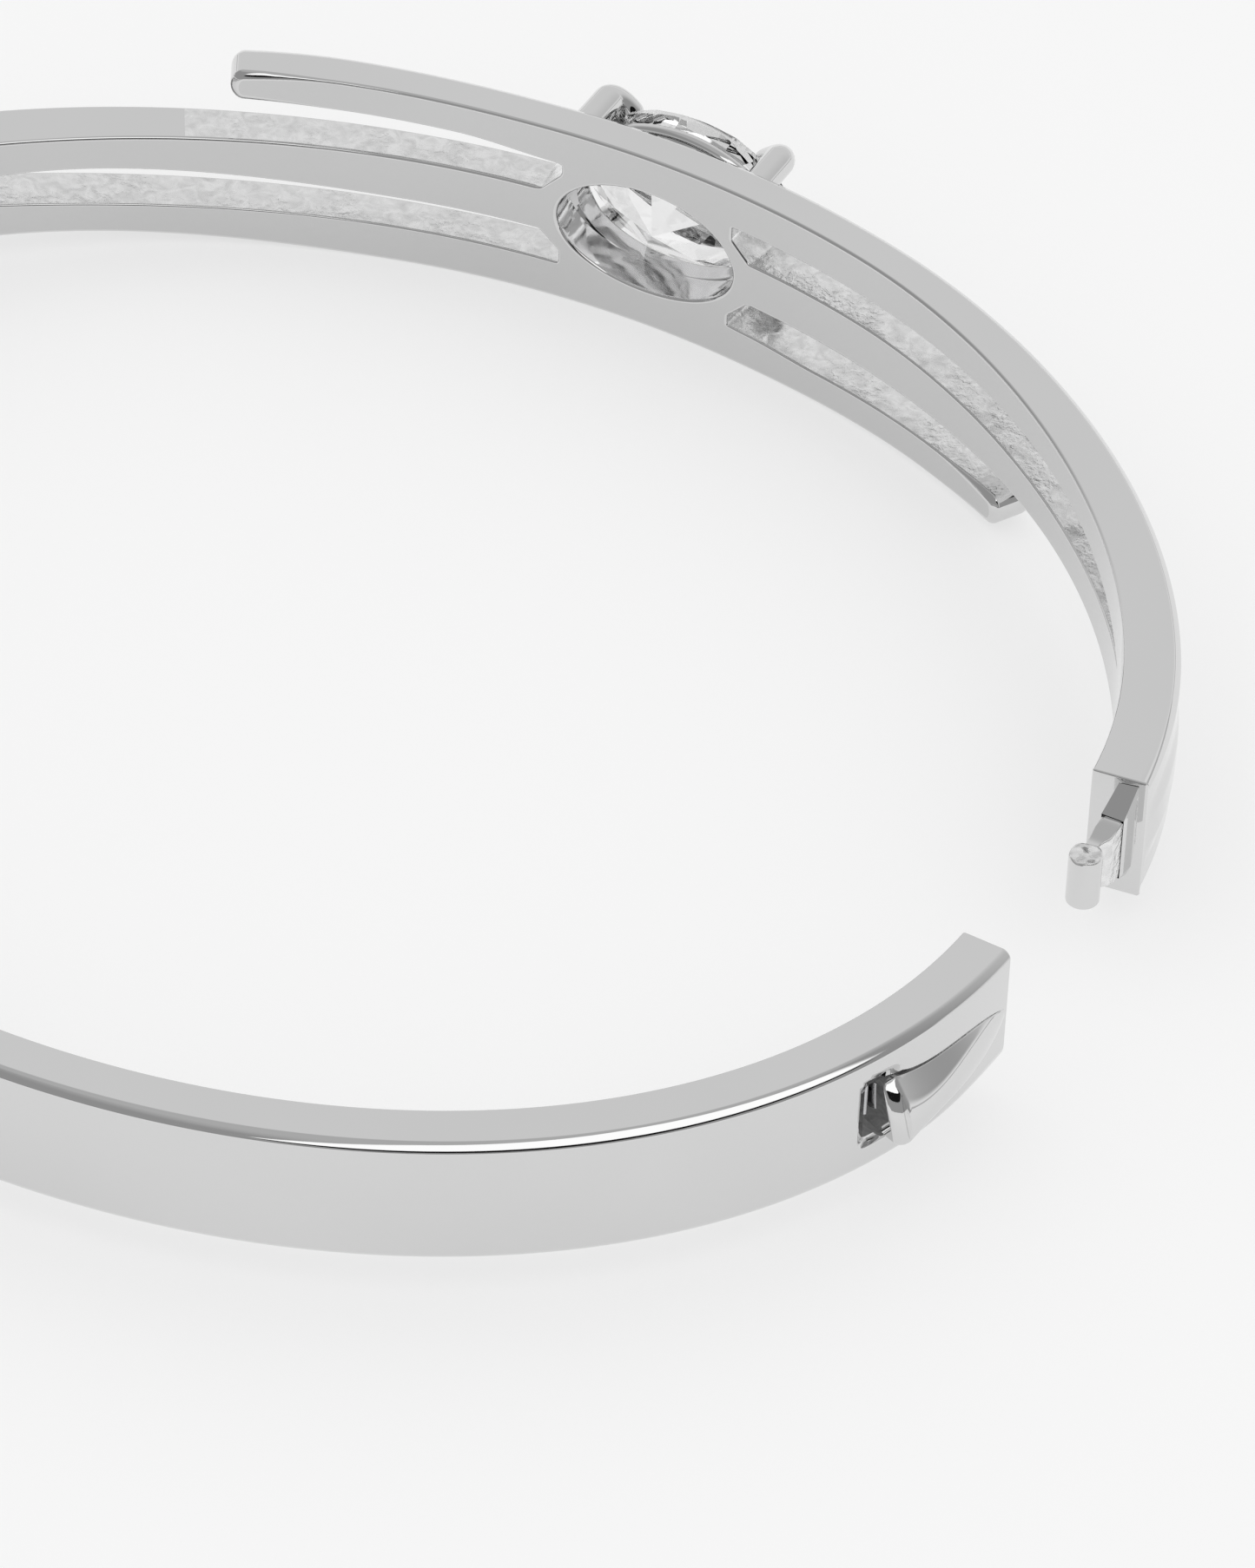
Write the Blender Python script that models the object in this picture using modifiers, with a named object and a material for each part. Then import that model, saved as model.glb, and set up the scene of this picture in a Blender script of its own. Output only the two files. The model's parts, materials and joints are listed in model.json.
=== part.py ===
"""Hinged oval bangle bracelet with bypass bars, a claw-set oval stone and a thumb-lever catch.

The bangle lies flat: +Z is the axis of the wrist opening, +Y points to the stone, the hinge is at -X
and the catch at +X. Shapes are drawn about the centre of the wrist opening, and an empty then moves
that centre so that the origin is the middle of the underside. The back half is drawn shut and then
turned open about the hinge by its parent empty.

Band pieces are drawn flat and then wrapped round the oval. Flat coordinates are s, the length along
the inner surface from the stone towards the catch, t, the height above that surface, and z.
All sizes are in millimetres; MM turns them into metres.
"""

import math

import bmesh
import bpy
import numpy as np
from mathutils import Matrix, Vector

MM = 0.001

# Wrist opening and band
OPENING_HALF_LENGTH = 30.0
OPENING_HALF_DEPTH = 24.3
BAND_HEIGHT = 5.4
BAND_THICKNESS = 2.15
PLATE_THICKNESS = 1.75
BACK_THICKNESS = 2.0
HALF_BAND = BAND_HEIGHT / 2
OPEN_ANGLE = 9.5
ORIGIN = (-0.156, -1.284, -4.05)
SLICE = 1.25
FIT = 0.05

# Split of the two halves, as Y of the end faces when shut
CATCH_SPLIT_Y = 2.4
HINGE_Y = -2.4
HINGE_X = -(OPENING_HALF_LENGTH + BACK_THICKNESS / 2)
CATCH_GAP = 0.1

# Bypass bars: distances from the middle plane, along s from the stone
BAR_RISE = 1.35
MIDDLE_HALF = 1.05
SLOT_LOW = 0.95
SLOT_HIGH = 2.35
SLOT_TIP = (31.6, 0.2)
SLOT_END_NEAR = 3.7
SLOT_END_FAR = 4.55
UPPER_TIP = 16.9
LOWER_TIP = 18.3
FREE_BAR_LOW = 2.68
TIP_LIFT = 0.3

# Stone and its setting, along +Y
HOLE_HALF = (3.84, 2.33)
STONE_HALF = (4.5, 3.5)
GIRDLE_Y = 28.0
GIRDLE_THICKNESS = 0.2
TABLE_Y = 29.05
CULET_Y = 24.75
COLLAR_WALL = 0.5
COLLAR_TOP_Y = 26.75
RAIL_HALF = (4.3, 3.3)
RAIL_Y = 27.0
RAIL_RADIUS = 0.27
PRONG_RADIUS = 0.62
PRONG_FOOT = (3.72, 3.05)
PRONG_TIP = (2.95, 2.35)
PRONG_TOP_Y = 28.95

# Hinge
KNUCKLE_RADIUS = 1.3
PIN_RADIUS = 0.5
KNUCKLE_SPLIT = 0.95
HINGE_END = 1.5

# Tongue: radial places are above the inner surface at the split, reaches run on from the end face
TONGUE_INNER = 0.80
TONGUE_OUTER = 1.66
TONGUE_HALF = 1.35
TONGUE_STUB = 1.6
HOOK_REACH = 2.57
HOOK_RADIAL = 1.15
HOOK_RADIUS = 0.63
HOOK_HALF = 1.1

# Catch box and lever, in the shut back half: radial places are above the inner surface
BOX_INNER = 0.28
BOX_OUTER = 1.80
BOX_HALF = 1.5
BOX_END_Y = -5.1
LEVER_ROOT_Y = 2.25
LEVER_FREE_Y = -4.1
LEVER_HALF = ((2.25, 0.12), (1.5, 0.45), (0.5, 0.66), (-1.4, 0.84), (-2.8, 1.08), (-3.6, 1.27))
LEVER_RISE = (0.12, 0.98)
LEVER_GAP = 0.1
LEVER_INNER = 1.88
CLAW_INNER = 1.74
CLAW_SPAN = (0.5, 1.0)
LEVER_PIVOT_Y = -2.4
LEVER_PIVOT_RADIAL = 1.1
LEVER_PIN_RADIUS = 0.35
LEVER_PIN_HALF = 2.2
DISH_RADIUS = 3.0
DISH_DEPTH = 0.3
DISH_PLACE = (-4.75, 0.25)

SILVER = ((0.80, 0.80, 0.81), 0.12, 1.0)
CAST_SILVER = ((0.72, 0.72, 0.73), 0.32, 1.0)
STEEL = ((0.55, 0.55, 0.56), 0.30, 1.0)
CRYSTAL = ((0.95, 0.95, 0.97), 0.02, 0.0)


def clear_scene():
    for obj in list(bpy.data.objects):
        bpy.data.objects.remove(obj)


def new_collection(name):
    collection = bpy.data.collections.new(name)
    bpy.context.scene.collection.children.link(collection)
    return collection


def material(name, finish):
    colour, roughness, metallic = finish
    made = bpy.data.materials.new(name)
    made.use_nodes = True
    shader = made.node_tree.nodes["Principled BSDF"]
    shader.inputs["Base Color"].default_value = (*colour, 1.0)
    shader.inputs["Roughness"].default_value = roughness
    shader.inputs["Metallic"].default_value = metallic
    if finish is CRYSTAL:
        shader.inputs["Transmission Weight"].default_value = 1.0
        shader.inputs["IOR"].default_value = 2.2
    return made


def smooth(u):
    """0 below 0, 1 above 1, and a smooth rise between."""
    u = min(max(u, 0.0), 1.0)
    return u * u * (3 - 2 * u)


class Oval:
    """The inner surface of the band, measured by its length from the stone."""

    def __init__(self, half_length, half_depth, steps=7200):
        self.angles = np.linspace(-2 * math.pi, 2 * math.pi, 2 * steps + 1)
        self.size = np.array((half_length, half_depth))
        points = np.stack((np.sin(self.angles), np.cos(self.angles)), axis=1) * self.size
        run = np.hypot(*np.diff(points, axis=0).T)
        self.lengths = np.concatenate(((0.0,), np.cumsum(run)))
        self.lengths -= self.lengths[steps]

    def angle(self, s):
        return float(np.interp(s, self.lengths, self.angles))

    def length_at(self, angle):
        return float(np.interp(angle, self.angles, self.lengths))

    def point(self, s, t, z):
        """World point, in metres, t above the inner surface."""
        angle = self.angle(s)
        a, b = self.size
        outward = Vector((b * math.sin(angle), a * math.cos(angle), 0)).normalized()
        inner = Vector((a * math.sin(angle), b * math.cos(angle), z))
        return (inner + t * outward) * MM


OVAL = Oval(OPENING_HALF_LENGTH, OPENING_HALF_DEPTH)
CATCH_S = OVAL.length_at(math.acos(CATCH_SPLIT_Y / OPENING_HALF_DEPTH))
FRONT_HINGE_S = OVAL.length_at(-math.acos((HINGE_Y + HINGE_END) / OPENING_HALF_DEPTH))
BACK_HINGE_S = OVAL.length_at(2 * math.pi - math.acos((HINGE_Y - HINGE_END) / OPENING_HALF_DEPTH))
SPLIT_X = OPENING_HALF_LENGTH * math.sqrt(1 - (CATCH_SPLIT_Y / OPENING_HALF_DEPTH) ** 2)


def add_object(name, mesh, collection, finish, parent=None):
    obj = bpy.data.objects.new(name, mesh)
    collection.objects.link(obj)
    if finish:
        mesh.materials.clear()
        mesh.materials.append(material(name + "_material", finish))
        mesh.shade_smooth()
        mesh.set_sharp_from_angle(angle=math.radians(32))
    parent = parent or ROOT
    obj.parent = parent
    obj.location = -Vector(PARENT_PLACE[parent.name])
    return obj


def as_cutter(obj):
    obj.hide_render = True
    obj.display_type = "WIRE"
    return obj


def boolean(obj, other, operation):
    modifier = obj.modifiers.new(operation.lower() + "_" + other.name, "BOOLEAN")
    modifier.operation = operation
    modifier.object = other
    return modifier


def curve_mesh(name, loops, half_height):
    """A filled flat outline, extruded to both sides of Z = 0, as a mesh."""
    curve = bpy.data.curves.new(name, "CURVE")
    curve.dimensions = "2D"
    curve.fill_mode = "BOTH"
    curve.extrude = half_height
    for loop in loops:
        spline = curve.splines.new("POLY")
        spline.points.add(len(loop) - 1)
        spline.use_cyclic_u = True
        for point, (x, y) in zip(spline.points, loop):
            point.co = (x, y, 0, 1)
    obj = bpy.data.objects.new(name, curve)
    bpy.context.scene.collection.objects.link(obj)
    bpy.context.view_layer.update()
    graph = bpy.context.evaluated_depsgraph_get()
    mesh = bpy.data.meshes.new_from_object(obj.evaluated_get(graph))
    bpy.data.objects.remove(obj)
    bm = bmesh.new()
    bm.from_mesh(mesh)
    bmesh.ops.remove_doubles(bm, verts=bm.verts, dist=1e-4)
    bmesh.ops.recalc_face_normals(bm, faces=bm.faces)
    bm.to_mesh(mesh)
    bm.free()
    return mesh


def slice_along(mesh, first, last, step):
    """Cuts the flat mesh across X at regular places, so that it can bend there."""
    bm = bmesh.new()
    bm.from_mesh(mesh)
    for k in range(math.ceil(first / step), math.floor(last / step) + 1):
        geometry = bm.verts[:] + bm.edges[:] + bm.faces[:]
        bmesh.ops.bisect_plane(bm, geom=geometry, dist=1e-5, plane_co=(k * step, 0, 0), plane_no=(1, 0, 0))
    bmesh.ops.triangulate(bm, faces=bm.faces)
    bm.to_mesh(mesh)
    bm.free()


def wrap(mesh, thickness_at):
    """Bends a flat mesh, with X along s, Y up and Z from -1 to 1 through the band, round the oval."""
    for vertex in mesh.vertices:
        s, z, through = vertex.co
        vertex.co = OVAL.point(s, (through + 1) / 2 * thickness_at(s), z)
    bm = bmesh.new()
    bm.from_mesh(mesh)
    bmesh.ops.recalc_face_normals(bm, faces=bm.faces)
    bm.to_mesh(mesh)
    bm.free()


def scaled_mesh(mesh):
    mesh.transform(Matrix.Scale(MM, 4))
    return mesh


def cylinder_mesh(name, radius, low, high, centre=(0, 0), sides=32):
    bm = bmesh.new()
    place = Matrix.Translation((centre[0], centre[1], (low + high) / 2))
    bmesh.ops.create_cone(
        bm, cap_ends=True, segments=sides, radius1=radius, radius2=radius, depth=high - low, matrix=place
    )
    mesh = bpy.data.meshes.new(name)
    bm.to_mesh(mesh)
    bm.free()
    return scaled_mesh(mesh)


def box_mesh(name, low, high):
    low, high = Vector(low), Vector(high)
    bm = bmesh.new()
    size = Matrix.Diagonal((*(high - low), 1))
    bmesh.ops.create_cube(bm, size=1, matrix=Matrix.Translation((low + high) / 2) @ size)
    mesh = bpy.data.meshes.new(name)
    bm.to_mesh(mesh)
    bm.free()
    return scaled_mesh(mesh)


def hull_mesh(name, points):
    """The convex solid round a set of corners."""
    bm = bmesh.new()
    for point in points:
        bm.verts.new(point)
    hull = bmesh.ops.convex_hull(bm, input=bm.verts)
    unused = {v for v in hull["geom_interior"] + hull["geom_unused"] if isinstance(v, bmesh.types.BMVert)}
    bmesh.ops.delete(bm, geom=list(unused), context="VERTS")
    bmesh.ops.recalc_face_normals(bm, faces=bm.faces)
    mesh = bpy.data.meshes.new(name)
    bm.to_mesh(mesh)
    bm.free()
    return scaled_mesh(mesh)


def ring_points(half, y, count, turn=0.0):
    """Points round an oval that faces +Y."""
    angles = [2 * math.pi * (k + turn) / count for k in range(count)]
    return [Vector((half[0] * math.cos(a), y, half[1] * math.sin(a))) for a in angles]


# ---------------------------------------------------------------- front half: outline of the bars


def rim(s, lift):
    """Outer edge of a free bar, from its tip (s < 0) over the stone to the end of the band."""
    return HALF_BAND + BAR_RISE * (1 - smooth((s - 10) / 23)) + lift * smooth((-s - 4) / 12)


def middle_rim(s):
    """Outer edge of the middle bar, which widens into the band near its end."""
    u = min(max((s - 8) / 26.5, 0.0), 1.0)
    return MIDDLE_HALF + (HALF_BAND - MIDDLE_HALF) * u**3


def slot_high(s):
    u = min(max((s - 8) / (SLOT_TIP[0] - 8), 0.0), 1.0)
    return SLOT_HIGH - (SLOT_HIGH - SLOT_TIP[1]) * u**3.2


def slot_low(s):
    return SLOT_LOW - 0.9 * smooth((s - 10) / 17) + (SLOT_TIP[1] - 0.05) * smooth((s - 27) / 4.6)


def stations(first, last):
    """The slice places strictly between two ends."""
    return [k * SLICE for k in range(math.floor(first / SLICE) + 1, math.ceil(last / SLICE))]


def free_bar_low(s, lift):
    return FREE_BAR_LOW - 0.24 * (1 - smooth((-s - 4) / 4)) + lift * smooth((-s - 4) / 12)


def free_bar(tip, lift):
    """Lower edge of a free bar from its root to its tip, the round tip, and its rim back to s = 0."""
    notch = [(-SLOT_END_FAR, MIDDLE_HALF), (-SLOT_END_NEAR, 1.95), (-SLOT_END_NEAR, 2.4)]
    under = [(s, free_bar_low(s, lift)) for s in reversed(stations(-tip + 0.6, -4))]
    low, high = free_bar_low(-tip, lift), rim(-tip, lift)
    middle, half = (low + high) / 2, (high - low) / 2
    arc = [math.radians(a) for a in range(-75, 76, 25)]
    round_tip = [(-tip + half * 0.75 * (1 - math.cos(a)), middle + half * math.sin(a)) for a in arc]
    over = [(s, rim(s, lift)) for s in stations(-tip + 0.6, 0)]
    return notch + under + round_tip + over


def front_outline():
    """The whole outline of the front half, clockwise from the hinge end."""
    upper = [(FRONT_HINGE_S, HALF_BAND)]
    upper += [(s, middle_rim(-s)) for s in stations(FRONT_HINGE_S, -SLOT_END_FAR)]
    upper += free_bar(UPPER_TIP, TIP_LIFT)
    upper += [(s, rim(s, 0)) for s in [0.0] + stations(0, CATCH_S)]
    upper += [(CATCH_S, HALF_BAND)]
    lower = [(CATCH_S, HALF_BAND)] + [(s, middle_rim(s)) for s in reversed(stations(SLOT_END_FAR, CATCH_S))]
    lower += [(-s, z) for s, z in free_bar(LOWER_TIP, -TIP_LIFT)]
    lower += [(-s, rim(s, 0)) for s in [0.0] + stations(0, -FRONT_HINGE_S)]
    lower += [(FRONT_HINGE_S, HALF_BAND)]
    return upper + [(s, -z) for s, z in lower]


def slot_outline(side):
    """The closed slot between two bars; side is 1 towards the catch and -1 towards the hinge."""
    places = stations(SLOT_END_FAR, SLOT_TIP[0])
    high = [(SLOT_END_NEAR, 1.75), (SLOT_END_NEAR, SLOT_HIGH)] + [(s, slot_high(s)) for s in places]
    low = [(s, slot_low(s)) for s in reversed(places)] + [(SLOT_END_FAR, SLOT_LOW)]
    return [(side * s, side * z) for s, z in high + [SLOT_TIP] + low]


def hole_outline(count=48):
    angles = [2 * math.pi * k / count for k in range(count)]
    return [(HOLE_HALF[0] * math.cos(a), HOLE_HALF[1] * math.sin(a)) for a in angles]


def front_thickness(s):
    return PLATE_THICKNESS + (BAND_THICKNESS - PLATE_THICKNESS) * smooth((abs(s) - 8) / 20)


def build_front_frame(parts, cutters):
    loops = [front_outline(), slot_outline(1), slot_outline(-1), hole_outline()]
    mesh = curve_mesh("front_frame", loops, 1.0)
    slice_along(mesh, FRONT_HINGE_S, CATCH_S, SLICE)
    wrap(mesh, front_thickness)
    frame = add_object("front_frame", mesh, parts, SILVER)
    low = (SPLIT_X + TONGUE_INNER - FIT, CATCH_SPLIT_Y - 1, -TONGUE_HALF - FIT)
    high = (SPLIT_X + TONGUE_OUTER + FIT, CATCH_SPLIT_Y + TONGUE_STUB + FIT, TONGUE_HALF + FIT)
    pocket = add_object("tongue_pocket_cutter", box_mesh("tongue_pocket_cutter", low, high), cutters, None)
    boolean(frame, as_cutter(pocket), "DIFFERENCE")


# ---------------------------------------------------------------- stone and setting


def stone_corners(grow=0.0):
    """Corners of an oval cut: table, crown mains, girdle, pavilion mains and culet."""
    crown = TABLE_Y - GIRDLE_Y
    half = Vector(STONE_HALF) + Vector((grow, grow))
    corners = ring_points(half * 0.56, TABLE_Y + grow, 8, 0.5)
    corners += ring_points(half * 0.80, GIRDLE_Y + crown * 0.62 + grow, 8)
    corners += ring_points(half, GIRDLE_Y + GIRDLE_THICKNESS / 2, 32)
    corners += ring_points(half, GIRDLE_Y - GIRDLE_THICKNESS / 2, 32)
    corners += ring_points(half * 0.32, CULET_Y + 0.30 * (GIRDLE_Y - CULET_Y), 8, 0.5)
    corners.append(Vector((0, CULET_Y - grow, 0)))
    return corners


def seat_corners():
    """A plainer solid round the stone, which cuts the seats of the claws."""
    half = (Vector(STONE_HALF) + Vector((FIT, FIT))) * 1.02
    crown = TABLE_Y - GIRDLE_Y
    corners = ring_points(half * 0.62, TABLE_Y + FIT, 16)
    corners += ring_points(half * 0.80, GIRDLE_Y + crown * 0.62 + FIT, 16)
    corners += ring_points(half, GIRDLE_Y + GIRDLE_THICKNESS / 2 + FIT, 16)
    corners += ring_points(half, GIRDLE_Y - GIRDLE_THICKNESS / 2 - FIT, 16)
    corners += ring_points(half * 0.4, CULET_Y, 16)
    return corners


def build_stone(parts):
    add_object("center_stone", hull_mesh("center_stone", stone_corners()), parts, CRYSTAL)
    bpy.data.objects["center_stone"].data.shade_flat()


def build_collar(parts):
    """Short oval tube that carries the bore of the plate up to the stone."""
    outer = [(p.x, p.z) for p in ring_points(Vector(HOLE_HALF) + Vector((COLLAR_WALL,) * 2), 0, 40)]
    inner = [(p.x, p.z) for p in ring_points(HOLE_HALF, 0, 40)]
    foot_y = OPENING_HALF_DEPTH + PLATE_THICKNESS + FIT
    mesh = curve_mesh("setting_collar", [outer, inner], (COLLAR_TOP_Y - foot_y) / 2)
    mesh.transform(Matrix.Rotation(math.radians(90), 4, "X"))
    mesh.transform(Matrix.Translation((0, (COLLAR_TOP_Y + foot_y) / 2, 0)))
    add_object("setting_collar", scaled_mesh(mesh), parts, SILVER)


def tube_mesh(name, points, radii, cyclic=False, ring=3):
    """A round wire through the points, in metres from millimetres."""
    curve = bpy.data.curves.new(name, "CURVE")
    curve.dimensions = "3D"
    curve.bevel_depth = 1.0 * MM
    curve.bevel_resolution = ring
    curve.use_fill_caps = not cyclic
    curve.twist_mode = "Z_UP" if cyclic else "MINIMUM"
    spline = curve.splines.new("POLY")
    spline.points.add(len(points) - 1)
    spline.use_cyclic_u = cyclic
    for point, place, radius in zip(spline.points, points, radii):
        point.co = (*(Vector(place) * MM), 1)
        point.radius = radius
    obj = bpy.data.objects.new(name, curve)
    bpy.context.scene.collection.objects.link(obj)
    bpy.context.view_layer.update()
    graph = bpy.context.evaluated_depsgraph_get()
    mesh = bpy.data.meshes.new_from_object(obj.evaluated_get(graph))
    bpy.data.objects.remove(obj)
    bm = bmesh.new()
    bm.from_mesh(mesh)
    bmesh.ops.remove_doubles(bm, verts=bm.verts, dist=1e-7)
    bmesh.ops.recalc_face_normals(bm, faces=bm.faces)
    bm.to_mesh(mesh)
    bm.free()
    return mesh


def build_gallery_rail(parts):
    points = ring_points(RAIL_HALF, RAIL_Y, 40)
    add_object("gallery_rail", tube_mesh("gallery_rail", points, [RAIL_RADIUS] * 40, True, 2), parts, SILVER)


def prong_path(side_x, side_z):
    """Centre line and radius of a claw, from the plate up and over the girdle."""
    foot, tip = Vector(PRONG_FOOT), Vector(PRONG_TIP)
    plate = OVAL.point(foot.x, PLATE_THICKNESS, 0).y / MM
    places, radii = [(foot.x, plate + 2 * FIT, foot.y)], [PRONG_RADIUS]
    bend_y = GIRDLE_Y + 0.1
    for k in range(8):
        a = math.pi / 2 * k / 7
        flat = foot.lerp(tip, 1 - math.cos(a))
        places.append((flat.x, bend_y + (PRONG_TOP_Y - PRONG_RADIUS - bend_y) * math.sin(a), flat.y))
        radii.append(PRONG_RADIUS)
    end = Vector(places[-1])
    inward = Vector((tip.x - foot.x, 0, tip.y - foot.y)).normalized()
    for a in (30, 60, 80):
        ahead = PRONG_RADIUS * 0.8 * math.sin(math.radians(a))
        places.append(tuple(end + inward * ahead))
        radii.append(PRONG_RADIUS * math.cos(math.radians(a)))
    return [(side_x * x, y, side_z * z) for x, y, z in places], radii


def build_prongs(parts, cutters):
    seat = add_object("prong_seat_cutter", hull_mesh("prong_seat_cutter", seat_corners()), cutters, None)
    as_cutter(seat)
    corners = ((-1, 1), (1, 1), (1, -1), (-1, -1))
    for number, (side_x, side_z) in enumerate(corners, 1):
        name = "prong_%d" % number
        points, radii = prong_path(side_x, side_z)
        prong = add_object(name, tube_mesh(name, points, radii, ring=2), parts, SILVER)
        boolean(prong, seat, "DIFFERENCE")


# ---------------------------------------------------------------- tongue and hook bar


def catch_point(radial, reach, z):
    """A corner given by its place through the band and its distance past the split face."""
    return (SPLIT_X + radial, CATCH_SPLIT_Y - reach, z)


def build_tongue(parts, cutters):
    plate = [
        (TONGUE_INNER, -TONGUE_STUB),
        (TONGUE_OUTER, -TONGUE_STUB),
        (TONGUE_OUTER, 1.0),
        (TONGUE_OUTER - 0.1, 1.5),
        (1.38, 1.8),
        (1.38, HOOK_REACH),
        (0.9, HOOK_REACH),
        (0.9, 1.8),
        (TONGUE_INNER, 1.2),
    ]
    outline = [catch_point(radial, reach, 0)[:2] for radial, reach in plate]
    mesh = scaled_mesh(curve_mesh("tongue", [outline], TONGUE_HALF))
    tongue = add_object("tongue", mesh, parts, CAST_SILVER)
    shoulder = []
    for side in (-1, 1):
        shoulder += [catch_point(r, 0.06, side * 2.3) for r in (1.1, 1.75)]
        shoulder += [catch_point(r, 0.60, side * TONGUE_HALF) for r in (TONGUE_INNER, 1.65)]
        shoulder += [catch_point(r, 0.06, side * TONGUE_HALF) for r in (TONGUE_INNER, 1.75)]
    wedge = add_object("tongue_shoulder", hull_mesh("tongue_shoulder", shoulder), cutters, None)
    boolean(tongue, as_cutter(wedge), "UNION")
    centre = catch_point(HOOK_RADIAL, HOOK_REACH, 0)[:2]
    saddle = cylinder_mesh("hook_saddle_cutter", HOOK_RADIUS + FIT, -3, 3, centre)
    boolean(tongue, as_cutter(add_object("hook_saddle_cutter", saddle, cutters, None)), "DIFFERENCE")
    bar = cylinder_mesh("hook_bar", HOOK_RADIUS, -HOOK_HALF, HOOK_HALF, centre, 28)
    hook = add_object("hook_bar", bar, parts, CAST_SILVER)
    rounding = hook.modifiers.new("rounding", "BEVEL")
    rounding.width = 0.15 * MM
    rounding.segments = 2


# ---------------------------------------------------------------- hinge


def build_hinge(parts, pivot):
    centre = (HINGE_X, HINGE_Y)
    half = BACK_THICKNESS / 2
    gap = FIT / 2
    levels = {
        "front_knuckle_upper": (KNUCKLE_SPLIT + gap, HALF_BAND - 0.1, 1),
        "front_knuckle_lower": (-HALF_BAND + 0.1, -KNUCKLE_SPLIT - gap, 1),
        "back_knuckle": (-KNUCKLE_SPLIT + gap, KNUCKLE_SPLIT - gap, -1),
    }
    for name, (low, high, side) in levels.items():
        ends = sorted((HINGE_Y, HINGE_Y + side * (HINGE_END - 3 * FIT)))
        mesh = box_mesh(name, (HINGE_X - half, ends[0], low), (HINGE_X + half, ends[1], high))
        knuckle = add_object(name, mesh, parts, SILVER, pivot if side < 0 else None)
        barrel = cylinder_mesh(name + "_barrel", KNUCKLE_RADIUS, low, high, centre)
        bore = cylinder_mesh(name + "_bore", PIN_RADIUS + FIT, low - 1, high + 1, centre, 24)
        for mesh, operation in ((barrel, "UNION"), (bore, "DIFFERENCE")):
            tool = add_object(mesh.name, mesh, CUTTERS, None, pivot if side < 0 else None)
            boolean(knuckle, as_cutter(tool), operation)
    pin = cylinder_mesh("hinge_pin", PIN_RADIUS, -HALF_BAND + 0.15, HALF_BAND - 0.15, centre, 24)
    add_object("hinge_pin", pin, parts, STEEL)


# ---------------------------------------------------------------- back half and its catch


def wall_x(y, radial):
    """X of a place above the inner surface, on the catch side."""
    return OPENING_HALF_LENGTH * math.sqrt(1 - (y / OPENING_HALF_DEPTH) ** 2) + radial


def steps_between(first, last, count):
    return [first + (last - first) * k / count for k in range(count + 1)]


def lever_half(y):
    """Half width of the teardrop lever at a place along it."""
    places = [(-place, half) for place, half in LEVER_HALF]
    return float(np.interp(-y, [p for p, _ in places], [h for _, h in places]))


def lever_outline(margin=0.0):
    """Teardrop of the lever seen from outside, as Y and z, pointed towards the split."""
    corner = 0.5
    root = LEVER_ROOT_Y + 10 * margin
    side = [(y, lever_half(y) + margin) for y in steps_between(root, LEVER_FREE_Y + corner, 10)]
    widest = LEVER_HALF[-1][1] + margin
    for degrees in (30, 60, 85):
        a = math.radians(degrees)
        y = LEVER_FREE_Y - margin + corner * (1 - math.sin(a))
        side.append((y, widest - corner * (1 - math.cos(a))))
    return side + [(y, -z) for y, z in reversed(side)]


def lever_profile():
    """The lever seen from above: its humped back, free end, heel round the pivot, and claw."""
    low, high = LEVER_RISE
    outline = []
    for u in steps_between(0, 1, 10):
        y = LEVER_ROOT_Y + (LEVER_FREE_Y + 0.6 - LEVER_ROOT_Y) * u
        outline.append((BACK_THICKNESS + low + (high - low) * u**1.3, y))
    top = BACK_THICKNESS + high
    outline += [(top - 0.06, LEVER_FREE_Y + 0.22), (top - 0.3, LEVER_FREE_Y), (BOX_OUTER - 0.15, LEVER_FREE_Y)]
    outline += [(0.62, LEVER_FREE_Y + 0.8), (0.45, LEVER_PIVOT_Y - 0.4), (0.45, LEVER_PIVOT_Y + 0.3)]
    outline += [(0.8, LEVER_PIVOT_Y + 0.75), (LEVER_INNER, LEVER_PIVOT_Y + 1.1)]
    outline += [(LEVER_INNER, CLAW_SPAN[0] - 0.1), (CLAW_INNER, CLAW_SPAN[0])]
    outline += [(CLAW_INNER, CLAW_SPAN[1]), (LEVER_INNER, CLAW_SPAN[1] + 0.15), (LEVER_INNER, LEVER_ROOT_Y)]
    return [(wall_x(y, radial), y) for radial, y in outline]


def radial_extrusion(name, outline, low, high):
    """An outline in Y and z, extruded along X between two places."""
    mesh = curve_mesh(name, [outline], (high - low) / 2)
    turn = Matrix(((0, 0, 1, 0), (1, 0, 0, 0), (0, 1, 0, 0), (0, 0, 0, 1)))
    mesh.transform(Matrix.Translation(((low + high) / 2, 0, 0)) @ turn)
    return scaled_mesh(mesh)


def catch_box_outline():
    """Hollow that the tongue enters, seen from above: it follows the curve of the band."""
    places = steps_between(CATCH_SPLIT_Y, BOX_END_Y, 6)
    open_end = [(wall_x(CATCH_SPLIT_Y, radial), CATCH_SPLIT_Y + 1) for radial in (BOX_OUTER, BOX_INNER)]
    inner = [(wall_x(y, BOX_INNER), y) for y in places]
    outer = [(wall_x(y, BOX_OUTER), y) for y in reversed(places)]
    return outer + open_end + inner


def nail_slot_outline():
    """Round-cornered opening past the free end of the lever."""
    half, corner = BOX_HALF - 0.05, 0.3
    low_y, high_y = BOX_END_Y + 0.04, LEVER_FREE_Y + 0.4
    corners = []
    for degrees in (0, 30, 60, 90):
        a = math.radians(degrees)
        corners.append((low_y + corner * (1 - math.sin(a)), half - corner * (1 - math.cos(a))))
    return [(high_y, -half), (high_y, half)] + corners + [(y, -z) for y, z in reversed(corners)]


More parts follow.
